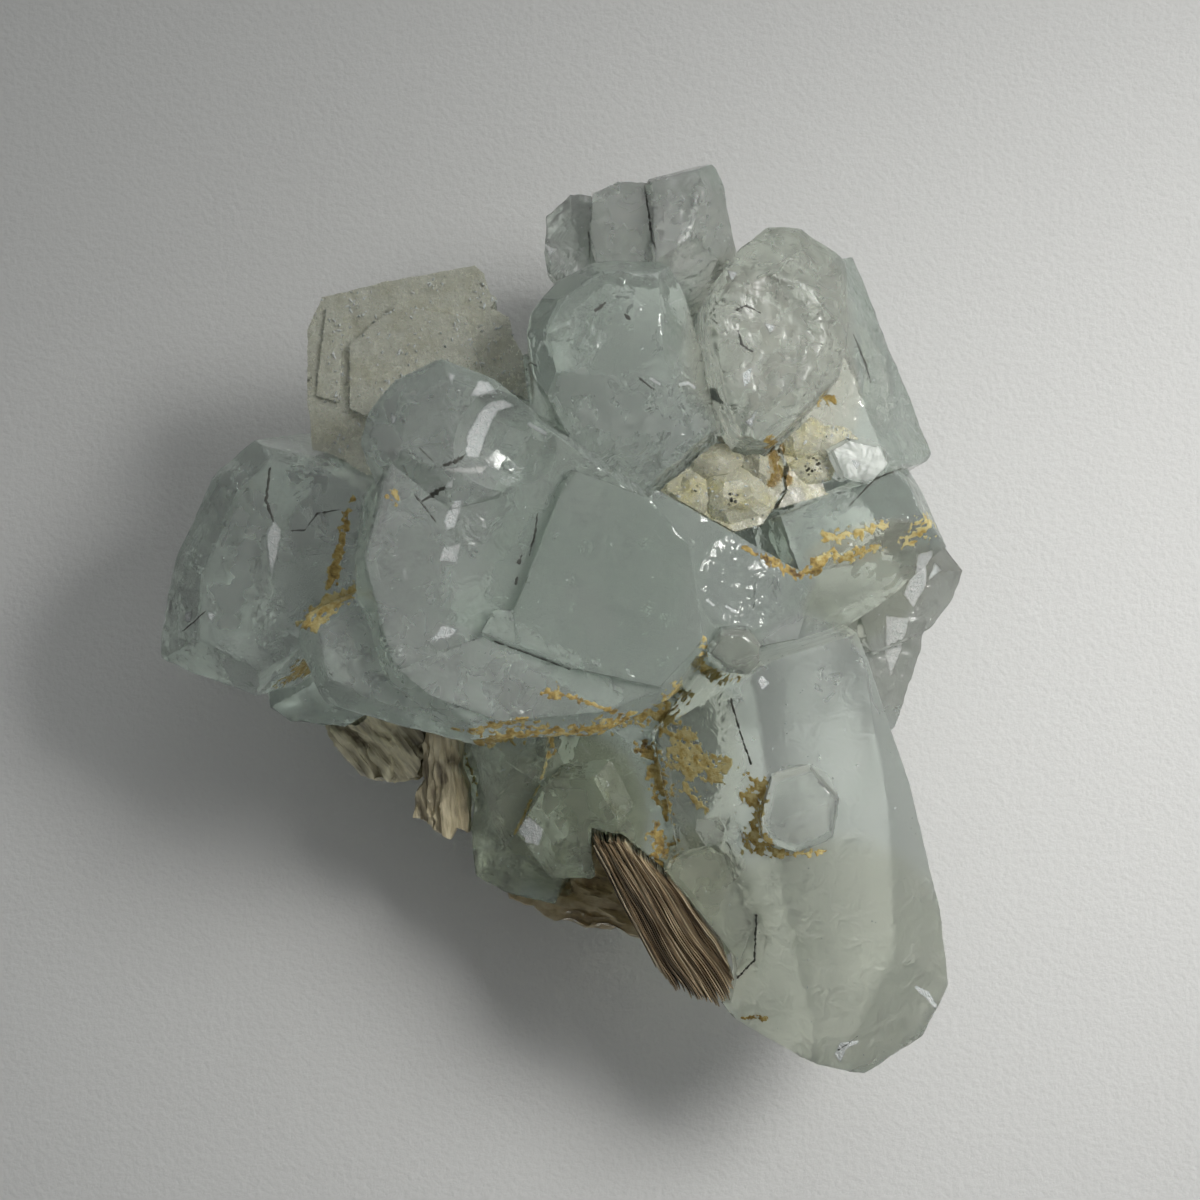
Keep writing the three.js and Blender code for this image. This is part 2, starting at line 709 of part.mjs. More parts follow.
// The bed that the front book has pressed into the crystals: its whole outline, open above.
function bedSolid({ outline, bottom, start }, clearance) {
  const middle = outline.reduce((sum, [x, y]) => [sum[0] + x / outline.length,
    sum[1] + y / outline.length], [0, 0]);
  const points = outline.map(([x, y]) => new THREE.Vector3(x - middle[0], y - middle[1], 0));
  const grown = points.map((point) => point.clone().setLength(point.length() + clearance * 1.6));
  const corner = (point, height) => new THREE.Vector3(point.x + middle[0], point.y + middle[1], height);
  return solidOf(new ConvexGeometry(grown.flatMap((point) => [corner(point, start[2] + 12),
    corner(point, bottom - clearance)])));
}

// What touches the aquamarine stands off it by the seam, so that no two minerals overlap.
const bed = bedSolid(bookFront, seamGap);
const crystals = aquamarineSolid().subtract(bed);
const hollow = aquamarineSolid(seamGap);
// Cutting can leave crumbs behind, and only the biggest piece is the mineral itself.
const larger = (a, b) => (b.volume() > a.volume() ? b : a);
const largest = (solid) => solid.decompose().reduce(larger);
const besideCrystals = (solid) => largest(solid.subtract(hollow));

const mineral = (color, roughness) => new THREE.MeshStandardMaterial({ color, roughness, metalness: 0 });
const beryl = mineral(0xa9c4bf, 0.2);
const quartz = mineral(0xb9b8a6, 0.6);
const ochre = mineral(0xc2b283, 0.8);
const mica = mineral(0x7a6a52, 0.4);

const lowCrust = besideCrystals(crustSolid(crustLower, crustSeed));
const lowCrustGrown = crustSolid(crustLower, crustSeed, 0.4);
const highCrust = besideCrystals(crustSolid(crustUpper, crustSeed).subtract(lowCrustGrown));

const cluster = new THREE.Group();
cluster.add(
  meshOf(crystals, "aquamarine_crystals", beryl),
  meshOf(besideCrystals(joined([frostedPlate, ...plateLedges].map(plateSolid))), "frosted_plate", quartz),
  meshOf(lowCrust, "stained_crust_lower", ochre),
  meshOf(highCrust, "stained_crust_upper", ochre),
  meshOf(largest(bookSolid(bookFront)), "mica_book_front", mica),
  meshOf(besideCrystals(bookSolid(bookLeft)), "mica_book_left", mica),
  meshOf(besideCrystals(bookSolid(fan)), "mica_fan", mica),
  meshOf(besideCrystals(bookSolid(bookLow).subtract(bed)), "mica_flakes_low", mica),
);

export default cluster;
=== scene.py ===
import math
import random

import bmesh
import bpy
import numpy as np
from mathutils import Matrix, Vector, noise
from mathutils.geometry import delaunay_2d_cdt, tessellate_polygon


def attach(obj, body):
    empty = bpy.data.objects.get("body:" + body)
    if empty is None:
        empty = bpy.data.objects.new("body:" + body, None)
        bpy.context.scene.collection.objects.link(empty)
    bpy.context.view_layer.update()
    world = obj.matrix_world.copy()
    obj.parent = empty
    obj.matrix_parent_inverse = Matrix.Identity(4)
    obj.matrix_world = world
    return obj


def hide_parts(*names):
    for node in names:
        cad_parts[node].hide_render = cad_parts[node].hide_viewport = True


# An aquamarine cluster on a pale floor, seen from straight above. Sizes in the settings are in mm,
# and meshes are scaled to metres as they are made.
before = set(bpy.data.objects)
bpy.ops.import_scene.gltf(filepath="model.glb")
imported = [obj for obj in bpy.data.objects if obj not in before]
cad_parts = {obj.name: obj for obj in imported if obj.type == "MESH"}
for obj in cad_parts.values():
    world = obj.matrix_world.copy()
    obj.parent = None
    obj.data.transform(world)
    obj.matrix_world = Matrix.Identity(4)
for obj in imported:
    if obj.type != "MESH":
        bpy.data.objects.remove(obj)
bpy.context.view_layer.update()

metre = 0.001


# Helpers that several pieces share.
def smoothStep(low, high, values):
    share = np.clip((values - low) / (high - low), 0, 1)
    return share * share * (3 - 2 * share)


def noiseAt(points, scale, offset=(0, 0, 0), octaves=1):
    shift = Vector(offset)
    if octaves == 1:
        return np.array([noise.noise(Vector(p) / scale + shift) for p in points])
    return np.array([noise.fractal(Vector(p) / scale + shift, 1.0, 2.1, octaves) for p in points])


def insidePlan(points, outline):
    x, y = points[:, 0], points[:, 1]
    hits = np.zeros(len(points), bool)
    for (x1, y1), (x2, y2) in zip(outline, outline[1:] + outline[:1]):
        if y1 == y2:
            continue
        crosses = (y1 > y) != (y2 > y)
        hits ^= crosses & (x < (x2 - x1) * (y - y1) / (y2 - y1) + x1)
    return hits


def addMesh(name, points, faces, material, slot, smooth=30):
    mesh = bpy.data.meshes.new(name)
    mesh.from_pydata([tuple(p) for p in np.asarray(points) * metre], [], [tuple(int(i) for i in f) for f in faces])
    mesh.validate()
    mesh.materials.append(material)
    if smooth:
        mesh.shade_smooth()
        mesh.set_sharp_from_angle(angle=math.radians(smooth))
    piece = bpy.data.objects.new(name, mesh)
    bpy.context.scene.collection.objects.link(piece)
    if slot:
        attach(piece, "root")
    return piece


def setValues(piece, name, values):
    layer = piece.data.attributes.new(name, "FLOAT", "POINT")
    layer.data.foreach_set("value", np.asarray(values, dtype=np.float32))


def setColours(piece, name, colours):
    layer = piece.data.attributes.new(name, "FLOAT_COLOR", "POINT")
    flat = np.ones((len(colours), 4), dtype=np.float32)
    flat[:, :3] = colours
    layer.data.foreach_set("color", flat.ravel())


# A node's solid as flat faces: its corners, and for each face its loop of corner numbers.
def flatFaces(nodeName):
    solid = bmesh.new()
    solid.from_mesh(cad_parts[nodeName].data)
    bmesh.ops.remove_doubles(solid, verts=solid.verts, dist=2e-6)
    bmesh.ops.dissolve_limit(solid, angle_limit=math.radians(0.6), verts=solid.verts, edges=solid.edges)
    corners = [np.array(v.co) / metre for v in solid.verts]
    loops = [[v.index for v in f.verts] for f in solid.faces]
    solid.free()
    return corners, loops


# The same solid with each flat face cut into small even triangles. spacing gives their size at a point.
def fineMesh(nodeName, spacing):
    points, loops = flatFaces(nodeName)
    splits = {}

    def between(a, b):
        key = (min(a, b), max(a, b))
        if key not in splits:
            start, end = points[key[0]], points[key[1]]
            length = np.linalg.norm(end - start)
            count = max(1, round(length / spacing((start + end) / 2, np.array([0, 0, 1.0]))))
            splits[key] = list(range(len(points), len(points) + count - 1))
            points.extend(start + (end - start) * k / count for k in range(1, count))
        return splits[key] if a < b else splits[key][::-1]

    triangles = []
    for loop in loops:
        rim = []
        for a, b in zip(loop, loop[1:] + loop[:1]):
            rim += [a] + between(a, b)
        rimPoints = np.array([points[i] for i in rim])
        following = np.roll(rimPoints, -1, axis=0)
        normal = np.cross(rimPoints - rimPoints[0], following - rimPoints[0]).sum(axis=0)
        area = np.linalg.norm(normal) / 2
        if area < 1e-9:
            continue
        normal /= 2 * area
        across = np.cross(normal, [0.3, 0.5, 0.81])
        across /= np.linalg.norm(across)
        basis = np.stack([across, np.cross(normal, across)])
        flat = (rimPoints - rimPoints[0]) @ basis.T
        gap = spacing(rimPoints.mean(axis=0), normal)
        low, high = flat.min(axis=0), flat.max(axis=0)
        rows = np.arange(low[1] + gap / 2, high[1], gap * 0.866)
        inner = np.array(
            [(x + (k % 2) * gap / 2, y) for k, y in enumerate(rows) for x in np.arange(low[0], high[0], gap)]
        ).reshape(-1, 2)
        if len(inner):
            inner = inner[insidePlan(inner, [tuple(p) for p in flat])]
        if len(inner):
            start, step = flat, np.roll(flat, -1, axis=0) - flat
            lengths = np.maximum((step**2).sum(axis=1), 1e-12)
            keep = np.ones(len(inner), bool)
            for chunk in range(0, len(inner), 2000):
                part = inner[chunk : chunk + 2000, None, :] - start[None]
                share = np.clip((part * step).sum(axis=2) / lengths, 0, 1)
                away = np.linalg.norm(part - share[..., None] * step, axis=2).min(axis=1)
                keep[chunk : chunk + 2000] = away > gap * 0.45
            inner = inner[keep]
        plan = [Vector(p) for p in flat] + [Vector(p) for p in inner]
        edges = [(k, (k + 1) % len(rim)) for k in range(len(rim))]
        found, _, cells, origins, _, _ = delaunay_2d_cdt(plan, edges, [], 1, 1e-7)
        made = sum(abs((found[b] - found[a]).cross(found[c] - found[a])) / 2 for a, b, c in cells)
        if abs(made - area) > 0.02 * area or any(not o for o in origins):
            whole = tessellate_polygon([[Vector(p) for p in rimPoints]])
            cells = [tuple(rim[i] for i in cell) for cell in whole]
        else:
            first = len(points)
            points.extend(rimPoints[0] + p @ basis for p in inner)
            numbers = rim + list(range(first, first + len(inner)))
            cells = [tuple(numbers[origins[i][0]] for i in cell) for cell in cells]
        for a, b, c in cells:
            turned = np.dot(np.cross(points[b] - points[a], points[c] - points[a]), normal) < 0
            triangles.append((a, c, b) if turned else (a, b, c))
    return np.array(points), np.array(triangles)


def pointNormals(points, triangles):
    a, b, c = (points[triangles[:, k]] for k in range(3))
    facing = np.cross(b - a, c - a)
    normals = np.zeros_like(points)
    for k in range(3):
        np.add.at(normals, triangles[:, k], facing)
    return normals / np.maximum(np.linalg.norm(normals, axis=1), 1e-12)[:, None]


# Wears the outer edges down: points sink where the surface is sharp and convex, by at most `most` mm.
def wornEdges(points, triangles, strength, most):
    sides = np.sort(np.concatenate([triangles[:, [0, 1]], triangles[:, [1, 2]], triangles[:, [2, 0]]]), axis=1)
    sides = np.unique(sides, axis=0)
    counts = np.zeros(len(points))
    sums = np.zeros_like(points)
    for here, there in ((0, 1), (1, 0)):
        np.add.at(counts, sides[:, here], 1)
        np.add.at(sums, sides[:, here], points[sides[:, there]])
    normals = pointNormals(points, triangles)
    bend = -((sums / np.maximum(counts, 1)[:, None] - points) * normals).sum(axis=1)
    sink = np.clip(bend * smoothStep(0.01, 0.05, bend) * strength, 0, most)
    return points - normals * sink[:, None]


def makeMaterial(name):
    material = bpy.data.materials.new(name)
    material.use_nodes = True
    tree = material.node_tree
    tree.nodes.clear()
    return material, tree


def addNode(tree, kind, inputs=None, **settings):
    node = tree.nodes.new(kind)
    for key, value in settings.items():
        setattr(node, key, value)
    for key, value in (inputs or {}).items():
        if isinstance(value, bpy.types.NodeSocket):
            tree.links.new(value, node.inputs[key])
        else:
            node.inputs[key].default_value = value
    return node


def noiseNode(tree, place, scale, detail=3.0, roughness=0.55, distortion=0.0):
    node = addNode(tree, "ShaderNodeTexNoise", {"Vector": place, "Scale": scale, "Detail": detail, "Roughness": roughness, "Distortion": distortion})
    return node.outputs["Fac"]


def mapRange(tree, value, fromLow, fromHigh, toLow=0.0, toHigh=1.0):
    node = addNode(tree, "ShaderNodeMapRange", {"Value": value, "From Min": fromLow, "From Max": fromHigh, "To Min": toLow, "To Max": toHigh})
    return node.outputs["Result"]


def mathNode(tree, operation, first, second):
    return addNode(tree, "ShaderNodeMath", {0: first, 1: second}, operation=operation).outputs[0]


def mixColour(tree, share, first, second, blend="MIX"):
    node = addNode(tree, "ShaderNodeMix", {}, data_type="RGBA", blend_type=blend)
    for index, value in ((0, share), (6, first), (7, second)):
        if isinstance(value, bpy.types.NodeSocket):
            tree.links.new(value, node.inputs[index])
        else:
            node.inputs[index].default_value = value
    return node.outputs[2]


def bumpNode(tree, height, strength, distance, normal=None):
    inputs = {"Height": height, "Strength": strength, "Distance": distance}
    if normal is not None:
        inputs["Normal"] = normal
    return addNode(tree, "ShaderNodeBump", inputs).outputs["Normal"]


def attribute(tree, name):
    return addNode(tree, "ShaderNodeAttribute", attribute_name=name)


# Camera and light: straight above the cluster, with a large soft light from the right.
viewSettings = {
    "height": 0.28667,
    "lens": 100,
    "sensor": 36,
}
camera = bpy.data.objects.new("camera", bpy.data.cameras.new("camera"))
camera.location = (0, 0, viewSettings["height"])
camera.data.lens = viewSettings["lens"]
camera.data.sensor_width = viewSettings["sensor"]
camera.data.clip_start = 0.01
camera.data.clip_end = 20
bpy.context.scene.collection.objects.link(camera)
bpy.context.scene.camera = camera

lightSettings = {
    "window": {"at": (0.2, 0.09, 0.23), "aim": (0.07, 0.0, 0), "size": (0.12, 0.18), "power": 0.08, "spread": 42, "colour": (1, 0.99, 0.965)},
    "skylight": {"at": (0.1, 0.24, 0.3), "aim": (0.03, 0, 0.01), "size": (0.14, 0.12), "power": 0.02, "spread": 80, "colour": (0.98, 0.99, 1)},
}
for lampName, lamp in lightSettings.items():
    light = bpy.data.lights.new(lampName, "AREA")
    light.shape = "RECTANGLE"
    light.size, light.size_y = lamp["size"]
    light.energy = lamp["power"]
    light.spread = math.radians(lamp["spread"])
    light.color = lamp["colour"]
    holder = bpy.data.objects.new(lampName, light)
    holder.location = lamp["at"]
    holder.rotation_euler = (Vector(lamp["aim"]) - Vector(lamp["at"])).to_track_quat("-Z", "Y").to_euler()
    bpy.context.scene.collection.objects.link(holder)

world = bpy.data.worlds.new("studio")
world.use_nodes = True
tree = world.node_tree
side = addNode(tree, "ShaderNodeSeparateXYZ", {"Vector": addNode(tree, "ShaderNodeTexCoord").outputs["Generated"]})
lean = mathNode(tree, "ADD", side.outputs["X"], mathNode(tree, "MULTIPLY", side.outputs["Y"], 0.5))
room = mixColour(tree, mapRange(tree, lean, -0.5, 0.9), (0.14, 0.144, 0.142, 1), (0.52, 0.53, 0.53, 1))
tree.links.new(room, tree.nodes["Background"].inputs["Color"])
tree.nodes["Background"].inputs["Strength"].default_value = 1.0
studio = bpy.context.scene
studio.world = world
world.cycles.sampling_method = "NONE"
studio.view_settings.view_transform = "Standard"
studio.cycles.max_bounces = 6
studio.cycles.diffuse_bounces = 2
studio.cycles.glossy_bounces = 3
studio.cycles.transmission_bounces = 6
studio.cycles.transparent_max_bounces = 8
studio.cycles.sample_clamp_indirect = 6
studio.cycles.blur_glossy = 1.0
studio.cycles.use_adaptive_sampling = True
studio.cycles.adaptive_threshold = 0.1
studio.cycles.adaptive_min_samples = 8
studio.cycles.use_denoising = True

floorMaterial, tree = makeMaterial("pale_paper")
place = addNode(tree, "ShaderNodeTexCoord").outputs["Object"]
grain = noiseNode(tree, place, 1800, 4, 0.6)
shader = addNode(tree, "ShaderNodeBsdfPrincipled", {
    "Base Color": (0.62, 0.62, 0.61, 1),
    "Roughness": 0.9,
    "Normal": bumpNode(tree, grain, 0.35, 0.0003),
})
addNode(tree, "ShaderNodeOutputMaterial", {"Surface": shader.outputs[0]})
floor = addMesh("floor", [(-900, -900, -0.1), (900, -900, -0.1), (900, 900, -0.1), (-900, 900, -0.1)], [(0, 1, 2, 3)], floorMaterial, None, 0)
print("camera, light and floor made")

# Crystals: one clear, milky glass, tinted, frosted and etched by values kept on the points.
glassSettings = {
    "transmission": 0.82,
    "ior": 1.577,
    "absorption": (0.76, 0.87, 0.79, 1),
    "density": 15.0,
    "roughness": 0.07,
    "frostedRoughness": 0.34,
    "etchScale": 620,
    "leastEtched": 0.08,
}
glassMaterial, tree = makeMaterial("aquamarine")
place = addNode(tree, "ShaderNodeTexCoord").outputs["Object"]
tint = attribute(tree, "tint").outputs["Color"]
frost = attribute(tree, "frost").outputs["Fac"]
etched = attribute(tree, "etched").outputs["Fac"]
etch = noiseNode(tree, place, glassSettings["etchScale"], 2, 0.62, 0.6)
rough = addNode(tree, "ShaderNodeMath", {
    0: frost, 1: glassSettings["frostedRoughness"],
    2: mapRange(tree, etch, 0.3, 0.7, glassSettings["roughness"] * 0.4, glassSettings["roughness"] * 1.8),
}, operation="MULTIPLY_ADD").outputs[0]
relief = mathNode(tree, "MULTIPLY", etch, mathNode(tree, "ADD", etched, glassSettings["leastEtched"]))
normal = bumpNode(tree, relief, 0.7, 0.0008)
shader = addNode(tree, "ShaderNodeBsdfPrincipled", {
    "Base Color": tint,
    "Roughness": rough,
    "IOR": glassSettings["ior"],
    "Transmission Weight": glassSettings["transmission"],
    "Normal": normal,
}, distribution="GGX")
volume = addNode(tree, "ShaderNodeVolumeAbsorption", {
    "Color": glassSettings["absorption"], "Density": glassSettings["density"],
})
addNode(tree, "ShaderNodeOutputMaterial", {"Surface": shader.outputs[0], "Volume": volume.outputs[0]})

crystalSettings = {
    "showing": 0.35,  # triangle size on the side that faces up
    "hidden": 0.9,  # and underneath
    "wear": 0.6,
    "deepestWear": 0.14,
    "paleBlue": (0.86, 0.935, 0.875),
    "milk": (0.955, 0.985, 0.95),  # what the glass turns to where it is cloudy
    "cloud": 0.55,
    "cloudSize": 5.0,
    "frost": 0.03,
    "etched": 0.05,
    "patchStrength": 0.85,
    "patches": [  # what differs from place to place: middle, half sizes and turn in plan, heights, looks
        {"at": (-26, 2.5), "size": (10, 12), "turn": 0, "heights": (0, 40),
         "tint": (0.74, 0.78, 0.75), "frost": 0.04, "etched": 0.2},
        {"at": (17.5, 16), "size": (2.8, 4.6), "turn": 0, "heights": (14, 40),
         "tint": (0.96, 0.95, 0.84), "frost": 0.4, "etched": 0.9},
        {"at": (13.2, 19.8), "size": (6.6, 9.6), "turn": -5, "heights": (18, 40),
         "tint": (0.96, 0.945, 0.84), "frost": 0.55, "etched": 0.42},
        {"at": (20.1, 10.9), "size": (2.4, 1.8), "turn": 0, "heights": (16, 30),
         "tint": (0.88, 0.91, 0.86), "frost": 0.8, "etched": 0.35},
        {"at": (26, -1.5), "size": (4.8, 9), "turn": -10, "heights": (4, 24),
         "tint": (0.99, 0.99, 0.93), "frost": 0.4, "etched": 0.6},
        {"at": (21, 0.6), "size": (6, 3.6), "turn": 30, "heights": (18, 34),
         "tint": (0.86, 0.87, 0.74), "frost": 0.2, "etched": 0.15},
        {"at": (20.5, 4.4), "size": (4.6, 1.5), "turn": 15, "heights": (18, 30),
         "tint": (0.93, 0.90, 0.74), "frost": 0.3, "etched": 0.3},
        {"at": (-2.2, -17.2), "size": (6.2, 7), "turn": 0, "heights": (0, 26),
         "tint": (0.56, 0.60, 0.43), "frost": 0.08, "etched": 0.12},
        {"at": (-8.5, -17), "size": (4, 8), "turn": 0, "heights": (0, 22),
         "tint": (0.73, 0.76, 0.62), "frost": 0.25, "etched": 0.3},
        {"at": (8.8, -24.2), "size": (4.4, 6), "turn": 20, "heights": (0, 25.2),
         "tint": (0.68, 0.69, 0.53), "frost": 0.15, "etched": 0.15},
        {"at": (1.5, 29.5), "size": (9, 5), "turn": 0, "heights": (0, 30),
         "tint": (0.99, 1.0, 0.965), "frost": 0.5, "etched": 0.3},
        {"at": (-3.4, 29.5), "size": (2.4, 5), "turn": 0, "heights": (0, 30),
         "tint": (0.96, 0.97, 0.95), "frost": 0.1, "etched": 0.9},
        {"at": (3.5, 12.6), "size": (6, 4.6), "turn": -25, "heights": (25, 40),
         "tint": (0.88, 0.93, 0.89), "frost": 0.06, "etched": 0.75},
        {"at": (11, 1.2), "size": (3.2, 3.6), "turn": 0, "heights": (25, 40),
         "tint": (0.90, 0.95, 0.92), "frost": 0.04, "etched": 0.6},
        {"at": (8.2, -12.5), "size": (3.6, 7), "turn": 10, "heights": (14, 40),
         "tint": (0.92, 0.93, 0.82), "frost": 0.3, "etched": 0.2},
        {"at": (19.5, -17), "size": (9, 9), "turn": -15, "heights": (8, 40),
         "tint": (0.94, 0.975, 0.945), "frost": 0.8, "etched": 0.1},
        {"at": (18.4, -28), "size": (10, 9.5), "turn": -20, "heights": (8, 40),
         "tint": (0.80, 0.82, 0.71), "frost": 0.85, "etched": 0.35},
        {"at": (15.8, -8.6), "size": (5.5, 7.5), "turn": 0, "heights": (20, 40),
         "tint": (0.98, 1.0, 0.985), "frost": 0.7, "etched": 0.1},
        {"at": (-15.5, 8), "size": (7.5, 11), "turn": 0, "heights": (12, 40),
         "tint": (0.97, 1.0, 0.975), "frost": 0.5, "etched": 0.1},
        {"at": (-12.5, -5.4), "size": (9.5, 4), "turn": -14, "heights": (10, 40),
         "tint": (0.98, 1.0, 0.98), "frost": 0.6, "etched": 0.1},
        {"at": (15.5, -16.1), "size": (2.9, 3.3), "turn": 0, "heights": (27.6, 40),
         "tint": (0.80, 0.82, 0.78), "frost": 0.03, "etched": 0.0},
        {"at": (10.4, -4.1), "size": (2, 2), "turn": 0, "heights": (22, 40),
         "tint": (0.84, 0.85, 0.76), "frost": 0.02, "etched": 0.05},
    ],
}


def patchShare(points, patch):
    turn = math.radians(patch["turn"])
    away = points[:, :2] - np.array(patch["at"])
    along = away[:, 0] * math.cos(turn) + away[:, 1] * math.sin(turn)
    beside = -away[:, 0] * math.sin(turn) + away[:, 1] * math.cos(turn)
    reach = np.hypot(along / patch["size"][0], beside / patch["size"][1])
    low, high = patch["heights"]
    rise, z = smoothStep(1.12, 0.88, reach), points[:, 2]
    return rise * smoothStep(low - 1, low + 0.5, z) * smoothStep(high + 1, high - 0.5, z)


def crystalSpacing(point, normal):
    showing = point[2] > 10 and normal[2] > -0.2
    return crystalSettings["showing"] if showing else crystalSettings["hidden"]


points, triangles = fineMesh("aquamarine_crystals", crystalSpacing)
print("crystals cut into", len(triangles), "triangles")
wear = crystalSettings["wear"] * (1 + noiseAt(points, 2.5))
points = wornEdges(points, triangles, wear, crystalSettings["deepestWear"])
normals = pointNormals(points, triangles)
frostValues = np.full(len(points), crystalSettings["frost"])
etchValues = np.full(len(points), crystalSettings["etched"])
tints = np.tile(np.array(crystalSettings["paleBlue"]), (len(points), 1))
cloud = smoothStep(-0.25, 0.6, noiseAt(points, crystalSettings["cloudSize"], (1, 6, 2), 4)) * crystalSettings["cloud"]
tints += (np.array(crystalSettings["milk"]) - tints) * cloud[:, None]
for patch in crystalSettings["patches"]:
    share = patchShare(points, patch)
    frostValues += (patch["frost"] - frostValues) * share
    etchValues += (patch["etched"] - etchValues) * share
    tints += (np.array(patch["tint"]) - tints) * share[:, None] * crystalSettings["patchStrength"]
spots = noiseAt(points, 3.4, (4, 4, 7), 3)
etchValues = np.clip(etchValues * (0.75 + spots * 1.1) + smoothStep(0.35, 0.6, spots) * 0.25, 0, 1)
roughBelow = smoothStep(11, 5, points[:, 2])
frostValues = np.maximum(frostValues, 0.45 * roughBelow)
etchValues = np.maximum(etchValues, 0.7 * roughBelow)
waves = noiseAt(points, 7.0) * 0.05 + noiseAt(points, 1.7, (5, 3, 8)) * 0.014
lumps = noiseAt(points, 1.6, (2, 9, 4), 3) * 0.2 + noiseAt(points, 3.4, (7, 1, 3)) * 0.3
lift = waves + (lumps - 0.05) * etchValues
lift *= smoothStep(0.2, 1.6, points[:, 2])
points = points + normals * lift[:, None]
crystals = addMesh("aquamarine_crystals_fine", points, triangles, glassMaterial, "aquamarine", 32)
setValues(crystals, "frost", frostValues)
setValues(crystals, "etched", etchValues)
setColours(crystals, "tint", tints)
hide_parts("aquamarine_crystals")
finePoints, fineTriangles, fineNormals = points, triangles, pointNormals(points, triangles)
print("crystals made")


filmSettings = {
    "rim": 0.3,  # mm from a rim inwards at which an outlined mark is at its fullest
    "thinnest": 0.006,
}


# Splits each triangle into four, as often as rounds says. The points may carry more columns than their place.
def splitFiner(points, triangles, rounds):
    for _ in range(rounds):
        sides = np.concatenate([triangles[:, [0, 1]], triangles[:, [1, 2]], triangles[:, [2, 0]]])
        unique, index = np.unique(np.sort(sides, axis=1), axis=0, return_inverse=True)
        ab, bc, ca = index.reshape(3, -1) + len(points)
        points = np.concatenate([points, points[unique].mean(axis=1)])
        a, b, c = triangles.T
        four = ((a, ab, ca), (ab, b, bc), (ca, bc, c), (ab, bc, ca))
        triangles = np.concatenate([np.stack(corners, axis=1) for corners in four])
    return points, triangles


# How far inside the nearest mark each point lies, and how dark that mark is. A line counts from its width,
# an outline from the distance to its rim.
def markLevels(points, marks):
    level = np.full(len(points), -9.0)
    dark = np.zeros(len(points))
    for mark in marks:
        if "outline" in mark:
            corners = np.array(mark["outline"] + mark["outline"][:1], float)
            widths = [0.0] * len(corners)
        else:
            corners = np.array(mark["along"], float)
            widths = mark["width"] if isinstance(mark["width"], list) else [mark["width"]] * len(corners)
        here = np.full(len(points), -9.0)
        for start, end, first, last in zip(corners, corners[1:], widths, widths[1:]):
            step = end - start
            share = np.clip(((points[:, :2] - start) @ step) / (step @ step), 0, 1)
            away = np.linalg.norm(points[:, :2] - start - share[:, None] * step, axis=1)
            if "outline" in mark:
                here = np.maximum(here, -away / filmSettings["rim"])
            else:
                here = np.maximum(here, 1 - away / (first + (last - first) * share))
        if "outline" in mark:
            here = np.where(insidePlan(points, mark["outline"]), np.minimum(-here, 1), here)
        dark = np.where(here > level, mark.get("dark", 0), dark)
        level = np.maximum(level, here)
    return level, dark


# Cuts triangles along the line where level is 0 and returns the part above it.
def keepAbove(points, triangles, level):
    kept, cuts = [], {}
    points, level = list(points), list(level)

    def cut(a, b):
        key = (min(a, b), max(a, b))
        if key not in cuts:
            share = level[a] / (level[a] - level[b])
            cuts[key] = len(points)
            points.append(points[a] + (points[b] - points[a]) * share)
            level.append(0.0)
        return cuts[key]

    for triangle in triangles.tolist():
        ring = []
        for a, b in zip(triangle, triangle[1:] + triangle[:1]):
            if level[a] > 0:
                ring.append(a)
            if (level[a] > 0) != (level[b] > 0):
                ring.append(cut(a, b))
        kept += [(ring[0], ring[k], ring[k + 1]) for k in range(1, len(ring) - 1)]
    return np.array(points), np.array(kept), np.array(level)


# A closed film over a patch of surface, between two heights above it, thinner towards its rim.
def filmOver(rows, triangles, level, low, high):
    used, triangles = np.unique(triangles, return_inverse=True)
    triangles = triangles.reshape(-1, 3)
    points, normals, level = rows[used, :3], rows[used, 3:6], level[used]
    count = len(points)
    thick = filmSettings["thinnest"] + (high - low) * np.clip(level * 3, 0, 1)
    upper = points + normals * (low + thick)[:, None]
    lower = points + normals * low
    sides = {}
    for a, b, c in triangles.tolist():
        for side in ((a, b), (b, c), (c, a)):
            if side[::-1] in sides:
                del sides[side[::-1]]
            else:
                sides[side] = True
    faces = [tuple(t) for t in triangles] + [tuple(count + i for i in t[::-1]) for t in triangles]
    faces += [(b, a, count + a, count + b) for a, b in sides]
    return np.concatenate([upper, lower]), faces, used


# Lays films on the crystals over marks given in plan. ragged is how much noise eats into their rims.
def layFilms(name, marks, material, slot, low, high, ragged, grain, rounds):
    reach = markLevels(finePoints, marks)[0]
    widest = 1 + max(ragged, 0.3)
    looksUp = (fineNormals[:, 2] > 0.05) & (finePoints[:, 2] > 8)
    near = fineTriangles[(reach[fineTriangles] > -widest).any(axis=1) & looksUp[fineTriangles].all(axis=1)]
    used, near = np.unique(near, return_inverse=True)
    rows = np.concatenate([finePoints[used], fineNormals[used]], axis=1)
    rows, near = splitFiner(rows, near.reshape(-1, 3), rounds)
    level, dark = markLevels(rows, marks)
    eaten = noiseAt(rows[:, :3], grain, (3, 3, 1), 4)
    level = level + (eaten - 0.12) * ragged
    rows = np.concatenate([rows, dark[:, None]], axis=1)
    rows, kept, level = keepAbove(rows, near, level)
    filmPoints, faces, used = filmOver(rows, kept, level, low, high)
    film = addMesh(name, filmPoints, faces, material, slot, 40)
    setValues(film, "dark", np.tile(rows[used, 6], 2))
    setValues(film, "depth", np.tile(level[used], 2))
    print(name, "made with", len(faces), "faces")
    return film


